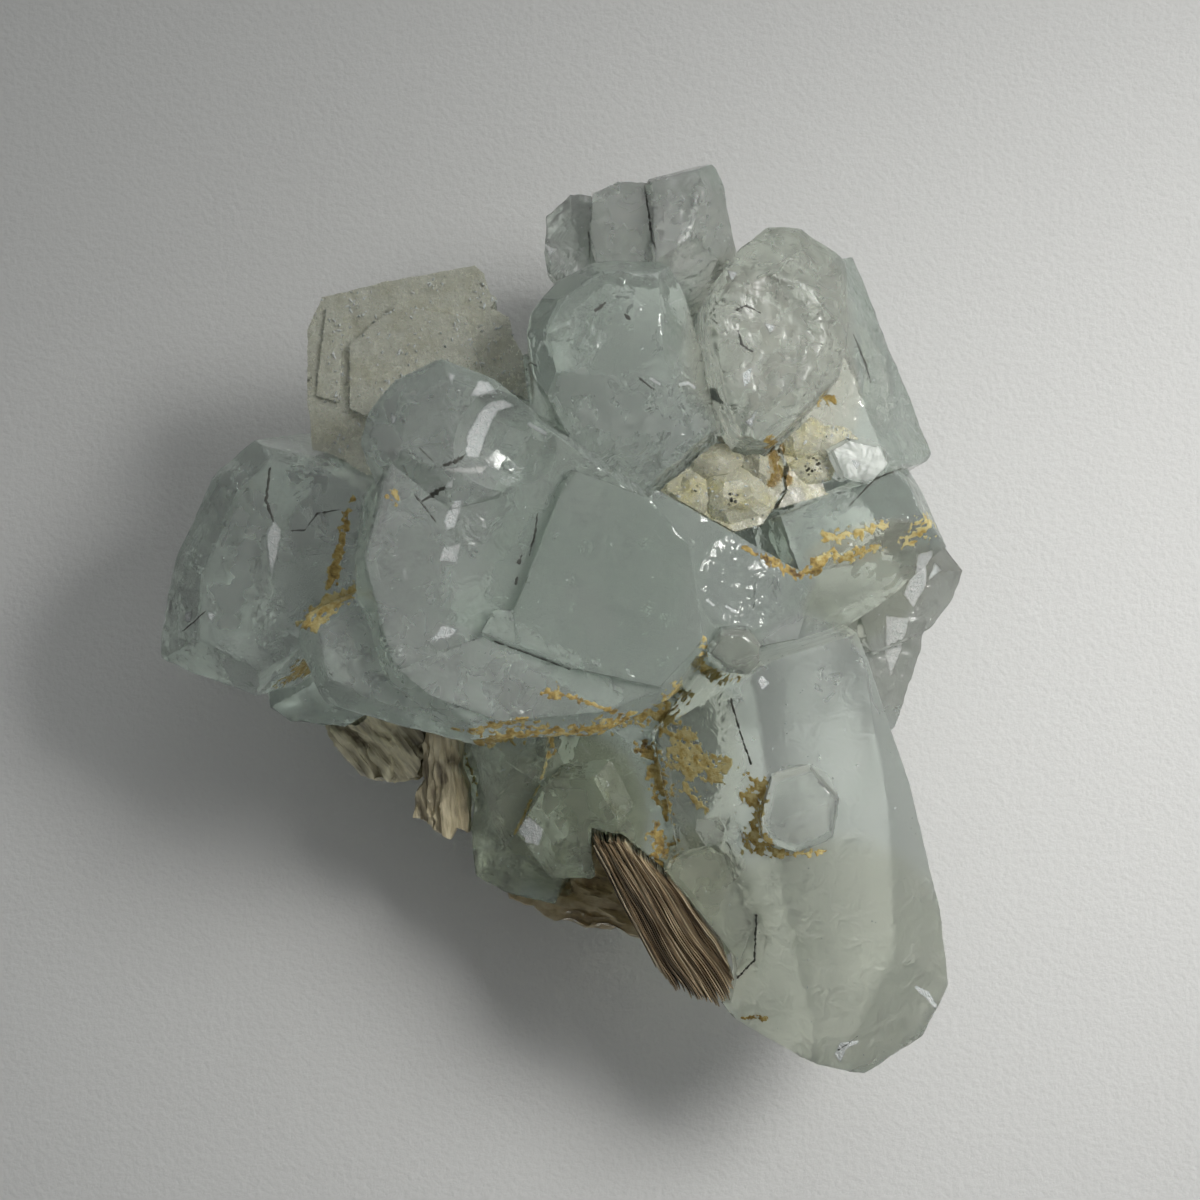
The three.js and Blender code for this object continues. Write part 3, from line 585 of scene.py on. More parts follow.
# Iron stain along the seams and in the hollows, from straw yellow to brown.
stainSettings = {
    "low": -0.03,
    "high": 0.012,
    "ragged": 1.7,
    "grain": 0.42,
    "marks": [
        {"outline": [(-19.4, 8), (-19, 7.9), (-19.4, 5.4), (-19.8, 3.4), (-20.5, 1.1), (-21.3, 0.8), (-21, 2.6),
                     (-20.3, 5.3)], "dark": 0.15},
        {"outline": [(-23.6, -1.6), (-21.3, 0.4), (-19.7, 1.1), (-18.8, 1.6), (-18.6, 0.4), (-19.7, -0.5),
                     (-21.5, -2.4), (-22.8, -2.3)], "dark": -0.05},
        {"outline": [(-25.7, -6.9), (-23.4, -4.6), (-22.1, -5.4), (-24.7, -6.5)], "dark": 0.05},
        {"along": [(-15.6, 7.9), (-15.2, 7.5)], "width": 0.35, "dark": 0.2},
        {"outline": [(12.6, 12.4), (13.4, 12.7), (14, 11.5), (13.7, 10), (14.5, 9), (13.7, 8.5), (13.3, 9.5),
                     (13.5, 10.5), (13.3, 11.8), (12.6, 11.8)], "dark": 0.3},
        {"outline": [(10.3, 5.6), (11.1, 6.4), (11.7, 6.6), (11.6, 6), (11.1, 5.7), (11.3, 5.3), (10.8, 5.3)],
         "dark": 0.3},
        {"outline": [(14.6, 2), (15.1, 1.6), (15.8, 1.6), (17.2, 2.1), (17.4, 2.6), (17, 3.1), (16.8, 3.4),
                     (16.4, 3.3), (16.1, 2.7), (15.3, 2.3)], "dark": 0.35},
        {"outline": [(16.8, 15.6), (18.2, 16.1), (18.4, 15.2), (17.4, 15.1)], "dark": 0.1},
        {"outline": [(5.3, -11.5), (6.1, -10), (7, -9.9), (7.7, -10.6), (8, -11.8), (9.1, -12.1), (9.9, -12.1),
                     (10.6, -12.9), (9.6, -13.6), (9.8, -14.3), (8.5, -14.6), (7.7, -13.7), (7.2, -14.2),
                     (6.9, -15.1), (6.3, -13.8), (5.4, -12.8)], "dark": -0.15},
        {"outline": [(11.2, -13.2), (12.3, -13.8), (13.2, -13.8), (12.9, -14.9), (12.5, -17.7), (13.8, -19.3),
                     (14.5, -19.8), (15.5, -19.4), (17.7, -19.4), (17.4, -20.1), (15.3, -20), (13.7, -20),
                     (11.1, -19.7), (11.4, -17.7), (12, -16.5), (10.9, -15.7), (10.6, -14.9), (11.7, -14.5)],
         "dark": 0.0},
        {"outline": [(7.8, -5.3), (8.6, -4.9), (9.7, -5.8), (11, -5.9), (9.9, -6.5), (8.6, -6.4)], "dark": 0.0},
        {"outline": [(2.6, -11.3), (3.8, -11.1), (4.5, -12.3), (4, -12.9), (3.1, -12.5)], "dark": 0.4},
        {"along": [(10.8, 4.1), (11.5, 3.7)], "width": 0.18, "dark": 0.3},
        {"along": [(11.8, 3.5), (13, 3.1), (14.5, 2.2), (14.9, 2.1)], "width": [0.15, 0.42, 0.4, 0.25], "dark": 0.35},
        {"along": [(17.2, 3), (18, 3.5), (19.8, 3.5), (20.9, 3.9), (22.1, 4.1)], "width": [0.4, 0.45, 0.4, 0.4, 0.25],
         "dark": 0.05},
        {"along": [(17.3, 4.7), (19.8, 5.2), (22, 5.9)], "width": 0.4, "dark": -0.05},
        {"along": [(24.1, 4.6), (25.4, 5.8)], "width": [0.5, 0.7], "dark": -0.1},
        {"along": [(-4.4, -7), (-3.5, -6.9), (-2.1, -7.3), (-0.2, -8), (1.1, -8.5), (2.5, -8.8)],
         "width": [0.15, 0.38, 0.22, 0.16, 0.18, 0.3], "dark": 0.25},
        {"along": [(-11.3, -9.8), (-9.4, -9.9), (-8.4, -9.6), (-5.7, -9)], "width": [0.1, 0.25, 0.35, 0.35], "dark": 0.1},
        {"along": [(-9.2, -11), (-7.4, -10.5), (-5.5, -10.1), (-3.5, -10), (-0.8, -9.9), (1.1, -9.5), (2.6, -9.4),
                   (4.3, -9), (5.3, -9.2)],
         "width": [0.4, 0.75, 0.7, 0.55, 0.55, 0.6, 0.7, 0.8, 0.7], "dark": 0.15},
        {"along": [(5, -10.2), (5.4, -9.2), (5.2, -7.5), (5.8, -6.9), (6.9, -7.6)],
         "width": [0.5, 0.8, 0.5, 0.6, 0.4], "dark": 0.05},
        {"along": [(-7.8, -10.5), (-8.9, -11.8)], "width": [0.4, 0.2], "dark": 0.2},
        {"along": [(-4, -10.4), (-3.7, -12)], "width": [0.35, 0.2], "dark": 0.2},
        {"along": [(4.1, -12), (4.7, -14.1), (4.9, -15.4), (5.3, -17.5)], "width": [0.5, 0.8, 0.7, 0.35], "dark": 0.2},
        {"along": [(6.5, -14.8), (7.4, -15.7), (8.7, -16.6)], "width": [0.5, 0.4, 0.25], "dark": -0.05},
        {"along": [(7.9, -2.8), (7.7, -4), (8.1, -5.3)], "width": [0.15, 0.25, 0.45], "dark": 0.0},
        {"along": [(-11.3, -12.5), (-10.1, -15.8)], "width": 0.16, "dark": -0.1},
        {"along": [(-3.8, -11.3), (-4.7, -14.4), (-6.8, -18.7)], "width": 0.15, "dark": -0.1},
        {"along": [(11.4, -33.3), (13.1, -33.2)], "width": 0.2, "dark": 0.3},
        {"along": [(4.4, -18.6), (4.9, -19.6), (4.4, -21)], "width": [0.6, 0.9, 0.5], "dark": 0.35},
    ],
}
stainMaterial, tree = makeMaterial("iron_stain")
place = addNode(tree, "ShaderNodeTexCoord").outputs["Object"]
blotch = noiseNode(tree, place, 1500, 4, 0.7)
thin = mapRange(tree, attribute(tree, "depth").outputs["Fac"], 0.0, 0.9, 0.0, 0.2)
shade = mathNode(tree, "ADD", attribute(tree, "dark").outputs["Fac"], thin)
shade = mathNode(tree, "ADD", shade, mapRange(tree, blotch, 0.35, 0.7, -0.3, 0.6))
ramp = addNode(tree, "ShaderNodeValToRGB", {"Fac": shade}).color_ramp
ramp.elements.new(0.42)
stops = ((0.0, (0.66, 0.57, 0.27)), (0.42, (0.47, 0.33, 0.09)), (1.0, (0.09, 0.05, 0.02)))
for element, (position, colour) in zip(ramp.elements, stops):
    element.position = position
    element.color = (*colour, 1)
shader = addNode(tree, "ShaderNodeBsdfPrincipled", {
    "Base Color": [node for node in tree.nodes if node.type == "VALTORGB"][0].outputs["Color"],
    "Roughness": mapRange(tree, blotch, 0.3, 0.7, 0.4, 0.85),
    "Normal": bumpNode(tree, noiseNode(tree, place, 3600, 3, 0.65), 0.6, 0.0002),
})
addNode(tree, "ShaderNodeOutputMaterial", {"Surface": shader.outputs[0]})
for name, shape, rise in (("iron_stain_patches", "outline", 0), ("iron_stain_seams", "along", 0.004)):
    marks = [mark for mark in stainSettings["marks"] if shape in mark]
    layFilms(name, marks, stainMaterial, "stained_crust", stainSettings["low"], stainSettings["high"] + rise,
             stainSettings["ragged"], stainSettings["grain"], 2)

# Cracks that reach the surface: dark, hair-thin and broken.
crackSettings = {
    "ragged": 0.95,
    "grain": 0.3,
    "marks": [
        {"along": [(-11.6, 10), (-10.7, 10.3), (-10, 10.9)], "width": [0.1, 0.16, 0.04]},
        {"along": [(-13.3, 7.4), (-12.2, 8.1), (-11.6, 8.4)], "width": [0.05, 0.2, 0.1]},
        {"along": [(-13.9, 7.9), (-12.9, 6.7), (-12.2, 5.7)], "width": [0.06, 0.08, 0.05]},
        {"along": [(-13.4, 11.3), (-12.3, 10.2)], "width": 0.05},
        {"along": [(-4.7, 6.5), (-4.9, 4.9), (-5.3, 3.4)], "width": [0.05, 0.1, 0.06]},
        {"along": [(-5.9, 3.3), (-6.1, 2.8)], "width": 0.11},
        {"along": [(-6.2, 1.7), (-6.3, 1.2)], "width": 0.12},
        {"along": [(-7.9, -3.1), (-5.2, -4.1), (-2.3, -5.2)], "width": 0.06},
        {"along": [(-25.6, 10.2), (-25.9, 7.7), (-25.3, 6)], "width": [0.1, 0.14, 0.07]},
        {"along": [(-23.9, 5.4), (-22.9, 5.4), (-21.9, 6.7), (-20.2, 7)], "width": [0.05, 0.08, 0.08, 0.05]},
        {"along": [(-32.7, -2.4), (-31.7, -1.7), (-30.7, -0.9)], "width": 0.06},
        {"along": [(3.5, 32.6), (3.8, 30.4), (4.1, 28.1), (4.4, 27.2)], "width": [0.05, 0.1, 0.08, 0.04]},
        {"along": [(-0.9, 29.1), (-0.8, 26.9)], "width": 0.06},
        {"along": [(-0.2, 21.9), (0, 22.1), (0.4, 22.4)], "width": [0.22, 0.16, 0.06]},
        {"along": [(1.9, 21.5), (2.2, 21.2)], "width": 0.12},
        {"along": [(14.3, 8.4), (15.2, 9.1)], "width": 0.08},
        {"along": [(19.3, 7.2), (21.4, 9.4), (23.6, 10.3)], "width": [0.04, 0.08, 0.04]},
        {"along": [(10.1, -7.6), (10.8, -10.1), (11.7, -12.7)], "width": 0.08},
        {"along": [(12.3, -24.8), (12.2, -28.5), (10.9, -30.1)], "width": 0.09},
        {"along": [(10.4, 22.1), (11.1, 22.4), (12.2, 21.9)], "width": 0.09},
        {"along": [(10.5, 20.5), (10.8, 19.4), (11.6, 18.9)], "width": [0.05, 0.1, 0.06]},
        {"along": [(3, 16.7), (3.9, 16)], "width": 0.07},
        {"along": [(-6.2, 18.6), (-4.8, 17.7)], "width": 0.06},
        {"along": [(19.9, 20.8), (20.8, 18.6), (21.2, 17)], "width": [0.04, 0.1, 0.05]},
        {"along": [(20.3, -34.4), (18.8, -35.5)], "width": [0.04, 0.08]},
    ],
}
crackMaterial, tree = makeMaterial("dark_crack")
place = addNode(tree, "ShaderNodeTexCoord").outputs["Object"]
# near-black colour along the crack lines, varied by noise
darkLineColour = mixColour(tree, noiseNode(tree, place, 1400, 3), (0.02, 0.022, 0.02, 1), (0.12, 0.12, 0.10, 1))
shader = addNode(tree, "ShaderNodeBsdfPrincipled", {"Base Color": darkLineColour, "Roughness": 0.5})
addNode(tree, "ShaderNodeOutputMaterial", {"Surface": shader.outputs[0]})
layFilms("dark_cracks", crackSettings["marks"], crackMaterial, "aquamarine", -0.03, 0.015,
         crackSettings["ragged"], crackSettings["grain"], 3)

# Bright fractures: thin films just under the surface over real thin gaps, coloured pale as painted highlights for the
# light those gaps throw back.
paintedHighlightSettings = {
    "ragged": 0.3,
    "grain": 0.5,
    "marks": [
        {"outline": [(-9.7, 15.1), (-9.1, 16.4), (-8.3, 16.3), (-7.6, 15.4), (-8.6, 15.2)]},
        {"outline": [(-10.1, 10.7), (-9.9, 12.5), (-9.1, 14), (-8.3, 14.8), (-7.2, 15), (-6.4, 14.5), (-7.6, 14.1),
                     (-8.1, 13.3), (-8.5, 12.2), (-9.1, 10.6)]},
        {"outline": [(-11.7, 9.8), (-8.3, 10.1), (-8.8, 9.4), (-11.1, 9.4)], "dark": 0.5},
        {"outline": [(-11.6, 8.4), (-10.9, 9.2), (-11, 8.3)]},
        {"outline": [(-11.8, 5.8), (-11.5, 5.2), (-10.9, 5.4), (-10.5, 6.5), (-10.2, 7.6), (-10.9, 7.5),
                     (-11.6, 6.4)]},
        {"outline": [(-11.8, 4), (-10.5, 4.2), (-10.7, 2.7), (-12.1, 2.9)], "dark": 0.2},
        {"outline": [(-12.8, -3.2), (-11.9, -1.8), (-10.6, -2.2), (-11.1, -2.8)]},
        {"outline": [(-25.3, 6.2), (-25.9, 5.1), (-25.8, 3.6), (-25.5, 1.6), (-25, 3.6), (-24.7, 5.4)], "dark": 0.1},
        {"outline": [(-32.5, -1.1), (-31.9, -0.8), (-32, -1.7), (-32.6, -1.7)]},
        {"outline": [(-30.6, -0.9), (-29.8, -1.1), (-30.3, -1.7)]},
        {"outline": [(-4.5, 28.3), (-3.4, 27.8), (-4, 27)]},
        {"outline": [(-11.4, 17.1), (-10.8, 16.8), (-11, 15.8)]},
        {"outline": [(-15.7, 14.1), (-15.1, 13.7), (-15.4, 12.9)]},
        {"along": [(-5.3, 13.2), (-4.1, 12.5)], "width": 0.16},
        {"outline": [(12, -6.2), (12.4, -5.7), (13.2, -6.4), (12.5, -7)]},
        {"outline": [(18.4, -35.9), (18.9, -34.8), (20.8, -34.6), (20.3, -35.1), (19.4, -35.5), (19.1, -36.8)],
         "dark": 0.1},
        {"along": [(25.1, -30.7), (26, -31.4), (26.8, -32.5)], "width": [0.2, 0.35, 0.2]},
        {"outline": [(-4.3, -12.1), (-3.2, -11.4), (-3.6, -12.2)]},
        {"outline": [(-6.7, -17.8), (-5.6, -17.1), (-4.4, -18.2), (-4.8, -19.6), (-6.2, -19.3)], "dark": 0.15},
        {"outline": [(8, 16.6), (8.9, 16.2), (9.5, 15), (8.7, 15.4)]},
        {"outline": [(10.7, 17.3), (11.7, 17.9), (11.4, 16.4), (10.9, 16)]},
        {"outline": [(11, 13.6), (12, 14.5), (11.6, 12.9)]},
        {"outline": [(9.5, 25.4), (10.6, 25.1), (10.1, 24.2)]},
        {"outline": [(12.4, 21.2), (13.4, 20.9), (12.9, 20)]},
        {"along": [(3.8, 16.7), (4.5, 16.3)], "width": 0.14},
        {"along": [(6.1, 16.3), (6.7, 16.5), (7.2, 16.2)], "width": 0.16},
        {"along": [(8.1, 0), (8.6, -0.4)], "width": 0.12},
        {"along": [(9.6, -0.5), (10.3, -0.9)], "width": 0.14},
        {"outline": [(19.2, 11), (20.3, 10.6), (19.8, 9.9)]},
        {"outline": [(26.9, 3), (27.5, 2.4), (26.4, 1.6)]},
        {"outline": [(24.9, 3.6), (26.2, 3.9), (26.3, 1.2), (25.2, -0.7), (24.3, 0.4), (24.9, 2)], "dark": 0.3},
        {"outline": [(22.9, -1.2), (24.9, -1.4), (24.4, -4), (23.5, -6.4), (23, -4)], "dark": 0.45},
    ],
}
paintedHighlightMaterial, tree = makeMaterial("fracture_painted_highlight")
place = addNode(tree, "ShaderNodeTexCoord").outputs["Object"]
scales = noiseNode(tree, place, 2200, 3, 0.7, 1.2)
dull = attribute(tree, "dark").outputs["Fac"]
shader = addNode(tree, "ShaderNodeBsdfPrincipled", {
    # pale colour: a painted highlight; where a mark's dark value is high it is a dimmer, greyer painted highlight
    "Base Color": mixColour(tree, dull, mixColour(
        tree, mapRange(tree, scales, 0.35, 0.65), (0.70, 0.76, 0.74, 1), (0.97, 0.98, 0.97, 1)), (0.42, 0.42, 0.38, 1)),
    "Roughness": 0.25,
    "Transmission Weight": 0.25,
    "Normal": bumpNode(tree, scales, 0.8, 0.0003),
})
addNode(tree, "ShaderNodeOutputMaterial", {"Surface": shader.outputs[0]})
layFilms("fracture_films_painted_highlight", paintedHighlightSettings["marks"], paintedHighlightMaterial, "aquamarine", -0.03, 0.0,
         paintedHighlightSettings["ragged"], paintedHighlightSettings["grain"], 2)

# Veils: pale wisps a little way inside the glass.
veilSettings = {
    "deep": 0.9,
    "thick": 0.012,
    "ragged": 2.2,
    "grain": 1.3,
    "marks": [
        {"along": [(-29, 9), (-27.5, 5), (-28.5, 0)], "width": 1.5},
        {"along": [(-22.5, 9.5), (-23.5, 4)], "width": 1.1},
        {"along": [(-15.5, 16), (-16.5, 11), (-16, 5)], "width": 1.4},
        {"along": [(-2, 16), (2.5, 13.5), (7, 12.5)], "width": 1.5},
        {"along": [(12, 24), (13.5, 20), (13, 15.5)], "width": 1.4},
        {"along": [(-3.5, -14.5), (-1, -17.5), (0.5, -20)], "width": 1.2},
        {"along": [(8, -21), (10.5, -25)], "width": 1.2},
        {"along": [(2, 31), (6, 29)], "width": 1.3},
        {"along": [(19, 4.8), (23, 2)], "width": 1.1},
    ],
}
veilMaterial, tree = makeMaterial("pale_veil")
place = addNode(tree, "ShaderNodeTexCoord").outputs["Object"]
wisp = mapRange(tree, noiseNode(tree, place, 900, 4, 0.7), 0.3, 0.7)
shader = addNode(tree, "ShaderNodeBsdfPrincipled", {
    "Base Color": mixColour(tree, wisp, (0.78, 0.84, 0.80, 1), (0.97, 0.98, 0.95, 1)),
    "Roughness": 0.4,
    "IOR": 1.04,
    "Transmission Weight": 0.62,
})
addNode(tree, "ShaderNodeOutputMaterial", {"Surface": shader.outputs[0]})
layFilms("inner_veils", veilSettings["marks"], veilMaterial, "aquamarine", -veilSettings["deep"],
         veilSettings["thick"] - veilSettings["deep"], veilSettings["ragged"], veilSettings["grain"], 1)

# Frosted plate and crust: rough, sugary mineral, with small flecks of painted glints standing on it.
roughSettings = {
    "frosted_plate": {
        "spacing": 0.3, "slot": "frosted_crystal", "relief": 0.1, "size": 1.3,
        "colour": (0.80, 0.81, 0.69), "stain": (0.64, 0.63, 0.48), "stained": 0.4, "see": 0.5,
        "pits": [(-22.7, 17.2, 0.35), (-24.6, 22.4, 0.5), (-9.4, 24.4, 0.5)], "rust": [],
        "flecks": 6, "smallest": 0.07, "largest": 0.3, "seed": 4,
    },
    "stained_crust_lower": {
        "spacing": 0.28, "slot": "stained_crust", "relief": 0.1, "size": 1.5,
        "colour": (1.0, 0.98, 0.78), "stain": (0.97, 0.88, 0.44), "stained": 0.34, "see": 0.6,
        "pits": [(10.2, 7.8, 0.75), (7.4, 8.6, 0.5)], "rust": [(13.1, 11.6, 1.5), (13.4, 9.6, 1.4), (11.2, 5.8, 1)],
        "flecks": 4, "smallest": 0.06, "largest": 0.28, "seed": 8,
    },
    "stained_crust_upper": {
        "spacing": 0.28, "slot": "stained_crust", "relief": 0.1, "size": 1.5,
        "colour": (1.0, 0.985, 0.84), "stain": (0.97, 0.90, 0.52), "stained": 0.3, "see": 0.56,
        "pits": [(16.4, 10.3, 1.1), (18.6, 10.8, 0.5)], "rust": [(13.4, 12, 1.4), (14, 9.4, 1.3)],
        "flecks": 4, "smallest": 0.06, "largest": 0.28, "seed": 15,
    },
}


def roughMaterial(name, settings):
    material, tree = makeMaterial(name)
    place = addNode(tree, "ShaderNodeTexCoord").outputs["Object"]
    blotch = noiseNode(tree, place, 420, 4, 0.65)
    speck = noiseNode(tree, place, 2400, 2, 0.7)
    share = mapRange(tree, blotch, 0.62 - settings["stained"] * 0.4, 0.75)
    colour = mixColour(tree, share, (*settings["colour"], 1), (*settings["stain"], 1))
    cells = addNode(tree, "ShaderNodeTexVoronoi", {"Vector": place, "Scale": 2600}).outputs["Distance"]
    rusty = mathNode(tree, "ADD", mathNode(tree, "MULTIPLY", attribute(tree, "rust").outputs["Fac"], 0.5), blotch)
    rusty = mapRange(tree, rusty, 0.92, 1.0)
    colour = mixColour(tree, rusty, colour, (0.50, 0.34, 0.10, 1))
    # near-black dots at the pits: painted shade in the hollows
    pitShade = mathNode(tree, "MULTIPLY", mapRange(tree, cells, 0.3, 0.4, 1, 0), attribute(tree, "pits").outputs["Fac"])
    colour = mixColour(tree, pitShade, colour, (0.03, 0.028, 0.02, 1))
    shader = addNode(tree, "ShaderNodeBsdfPrincipled", {
        "Base Color": colour,
        "Roughness": mapRange(tree, speck, 0.35, 0.65, 0.12, 0.35),
        "IOR": 1.55,
        "Transmission Weight": settings["see"],
        "Normal": bumpNode(tree, speck, 0.35, 0.0002),
    })
    addNode(tree, "ShaderNodeOutputMaterial", {"Surface": shader.outputs[0]})
    return material


# Geometry nodes that stand small bright flecks on the faces that look up: painted glints.
def paintedGlintNodes(material):
    tree = bpy.data.node_groups.new("painted_glint_flecks", "GeometryNodeTree")
    for label, kind in (("Geometry", "NodeSocketGeometry"), ("Flecks per mm2", "NodeSocketFloat"), ("Smallest", "NodeSocketFloat"), ("Largest", "NodeSocketFloat"), ("Seed", "NodeSocketInt")):
        tree.interface.new_socket(label, in_out="INPUT", socket_type=kind)
    tree.interface.new_socket("Geometry", in_out="OUTPUT", socket_type="NodeSocketGeometry")
    given = tree.nodes.new("NodeGroupInput").outputs
    scatter = addNode(tree, "GeometryNodeDistributePointsOnFaces", {"Mesh": given["Geometry"], "Seed": given["Seed"]})
    clusters = mapRange(tree, noiseNode(tree, addNode(tree, "GeometryNodeInputPosition").outputs[0], 650, 3), 0.45, 0.7)
    perSquareMetre = mathNode(tree, "MULTIPLY", given["Flecks per mm2"], 1e6)
    tree.links.new(mathNode(tree, "MULTIPLY", clusters, perSquareMetre), scatter.inputs["Density"])
    facing = addNode(tree, "ShaderNodeSeparateXYZ", {"Vector": addNode(tree, "GeometryNodeInputNormal").outputs[0]})
    facesUp = addNode(tree, "FunctionNodeCompare", {"A": facing.outputs["Z"], "B": -0.2}, data_type="FLOAT", operation="GREATER_THAN")
    tree.links.new(facesUp.outputs[0], scatter.inputs["Selection"])
    # each fleck is a painted glint: a small flattened ball in the pale painted-highlight material
    grain = addNode(tree, "GeometryNodeMeshIcoSphere", {"Radius": metre, "Subdivisions": 1})
    size = addNode(tree, "FunctionNodeRandomValue", {"Seed": given["Seed"]}, data_type="FLOAT")
    tree.links.new(given["Smallest"], size.inputs[2])
    tree.links.new(given["Largest"], size.inputs[3])
    turn = addNode(tree, "FunctionNodeRandomValue", {0: (0, 0, 0), 1: (6.28, 6.28, 6.28), "Seed": 3}, data_type="FLOAT_VECTOR")
    thin = addNode(tree, "ShaderNodeVectorMath", {0: (1, 0.45, 0.3)}, operation="SCALE")
    tree.links.new(size.outputs[1], thin.inputs["Scale"])
    stand = addNode(tree, "GeometryNodeInstanceOnPoints", {
        "Points": scatter.outputs["Points"], "Instance": grain.outputs["Mesh"],
        "Rotation": turn.outputs[0], "Scale": thin.outputs[0],
    })
    real = addNode(tree, "GeometryNodeRealizeInstances", {"Geometry": stand.outputs["Instances"]})
    painted = addNode(tree, "GeometryNodeSetMaterial", {"Geometry": real.outputs["Geometry"], "Material": material})
    result = tree.nodes.new("NodeGroupOutput")
    tree.links.new(painted.outputs["Geometry"], result.inputs["Geometry"])
    return tree


# Runs a node tree on a copy of a piece and returns the result as a plain mesh piece.
def growFrom(source, name, tree, values):
    holder = bpy.data.objects.new(name, source.data)
    bpy.context.scene.collection.objects.link(holder)
    modifier = holder.modifiers.new("flecks", "NODES")
    modifier.node_group = tree
    for item in tree.interface.items_tree:
        if item.in_out == "INPUT" and item.name in values:
            modifier[item.identifier] = values[item.name]
    bpy.context.view_layer.update()
    ready = holder.evaluated_get(bpy.context.evaluated_depsgraph_get())
    mesh = bpy.data.meshes.new_from_object(ready)
    holder.modifiers.remove(modifier)
    holder.data = mesh
    mesh.name = name
    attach(holder, "root")
    return holder


for nodeName, settings in roughSettings.items():
    spacing = settings["spacing"]
    points, triangles = fineMesh(nodeName, lambda point, normal: spacing if normal[2] > -0.3 else spacing * 2)
    normals = pointNormals(points, triangles)
    size = settings["size"]
    billow = 1 - 2 * np.abs(noiseAt(points, size, (settings["seed"], 1, 2), 3))
    fine = noiseAt(points, size * 0.35, (1, settings["seed"], 5))
    points = points + normals * ((billow * 0.6 + fine * 0.45) * settings["relief"])[:, None]
    material = roughMaterial(nodeName, settings)
    piece = addMesh(nodeName + "_rough", points, triangles, material, settings["slot"], 24)
    for label in ("pits", "rust"):
        here = np.zeros(len(points))
        for x, y, reach in settings[label]:
            away = np.hypot(points[:, 0] - x, points[:, 1] - y)
            here = np.maximum(here, smoothStep(reach, reach * 0.6, away))
        setValues(piece, label, here)
    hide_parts(nodeName)
    values = {
        "Flecks per mm2": settings["flecks"], "Smallest": settings["smallest"],
        "Largest": settings["largest"], "Seed": settings["seed"],
    }
    flecks = growFrom(piece, nodeName + "_flecks", paintedGlintNodes(paintedHighlightMaterial), values)
    print(nodeName, len(triangles), "flecks", len(flecks.data.polygons))

# A few painted glints all over the crystals.
glintSettings = {"Flecks per mm2": 0.6, "Smallest": 0.03, "Largest": 0.16, "Seed": 21}
glints = growFrom(crystals, "crystal_glints", paintedGlintNodes(paintedHighlightMaterial), glintSettings)
print("crystal glints", len(glints.data.polygons))

# Mica books: many thin sheets that stand on edge, each a little different in height, length and tone.
micaSettings = {
    "mica_book_front": {
        "outline": [(-0.4, -18.4), (-0.3, -20.8), (0.3, -22.8), (1.3, -24.7), (3.5, -28.4), (5.9, -30.8), (7.7, -31.8),
                    (10.2, -31.8), (10.5, -29.8), (10.2, -28), (8.4, -26), (5.5, -22.4), (2.5, -19.9), (1.9, -19.1), (0.1, -19.1)],
        "start": (0.6, -18, 23.6), "end": (9.4, -32.4, 22.6), "widths": (3.6, 6.2), "bottom": 13,
        "sheets": 42, "uneven": 0.7, "wave": 0.35, "grow": 0.3, "seed": 7,
    },
}
foldSettings = {  # folds run along a direction; marks are spots that are darker or paler than the rest
    "mica_book_left": {
        "along": (0.62, -0.78), "spacing": 0.28, "width": 1.3, "length": 6, "depth": 0.5, "seed": 23,
        "marks": [(-15.2, -11, 1.7, -0.8), (-20.8, -9.6, 1.2, 0.15)],
    },
    "mica_fan": {
        "along": (0.1, -1), "spacing": 0.22, "width": 1.0, "length": 5, "depth": 0.34, "seed": 31,
        "marks": [(-13, -12, 1.3, 0.75), (-12.6, -14.4, 0.5, -0.6)],
    },
    "mica_flakes_low": {
        "along": (1, -0.25), "spacing": 0.34, "width": 1.8, "length": 2.4, "depth": 0.5, "seed": 11, "see": 0.45,
        "marks": [(-4.5, -23, 3.2, 0.35)],
    },
}
micaTones = {  # darkest, middle and palest sheet
    "mica_book_front": ((0.10, 0.065, 0.035), (0.36, 0.27, 0.16), (0.78, 0.68, 0.48)),
    "mica_book_left": ((0.21, 0.185, 0.12), (0.63, 0.58, 0.40), (0.87, 0.83, 0.62)),
    "mica_fan": ((0.18, 0.145, 0.09), (0.52, 0.45, 0.29), (0.82, 0.73, 0.51)),
    "mica_flakes_low": ((0.34, 0.25, 0.11), (0.68, 0.55, 0.30), (0.90, 0.82, 0.56)),
}


def micaMaterial(name, along, see=0.0):
    material, tree = makeMaterial(name)
    place = addNode(tree, "ShaderNodeTexCoord").outputs["Object"]
    turned = addNode(tree, "ShaderNodeMapping", {"Vector": place, "Rotation": (0, 0, -math.atan2(along[1], along[0]))})
    drawn = addNode(tree, "ShaderNodeMapping", {"Vector": turned.outputs[0], "Scale": (0.5 if see else 0.12, 1, 0.3)})
    streak = noiseNode(tree, drawn.outputs[0], 3200, 4, 0.6)
    tone = attribute(tree, "sheet").outputs["Fac"]
    value = mathNode(tree, "ADD", mathNode(tree, "MULTIPLY", tone, 0.75), mapRange(tree, streak, 0.3, 0.7, -0.15, 0.4))
    ramp = addNode(tree, "ShaderNodeValToRGB", {"Fac": value})
    for element, colour in zip([ramp.color_ramp.elements[0], ramp.color_ramp.elements.new(0.5), ramp.color_ramp.elements[-1]], micaTones[name]):
        element.color = (*colour, 1)
    shader = addNode(tree, "ShaderNodeBsdfPrincipled", {
        "Base Color": ramp.outputs["Color"],
        "Roughness": mapRange(tree, streak, 0.3, 0.7, 0.28, 0.55),
        "IOR": 1.58,
        "Transmission Weight": see,
        "Coat Weight": 0.25,
        "Coat Roughness": 0.2,
        "Normal": bumpNode(tree, streak, 0.45, 0.0002),
    })
    addNode(tree, "ShaderNodeOutputMaterial", {"Surface": shader.outputs[0]})
    return material


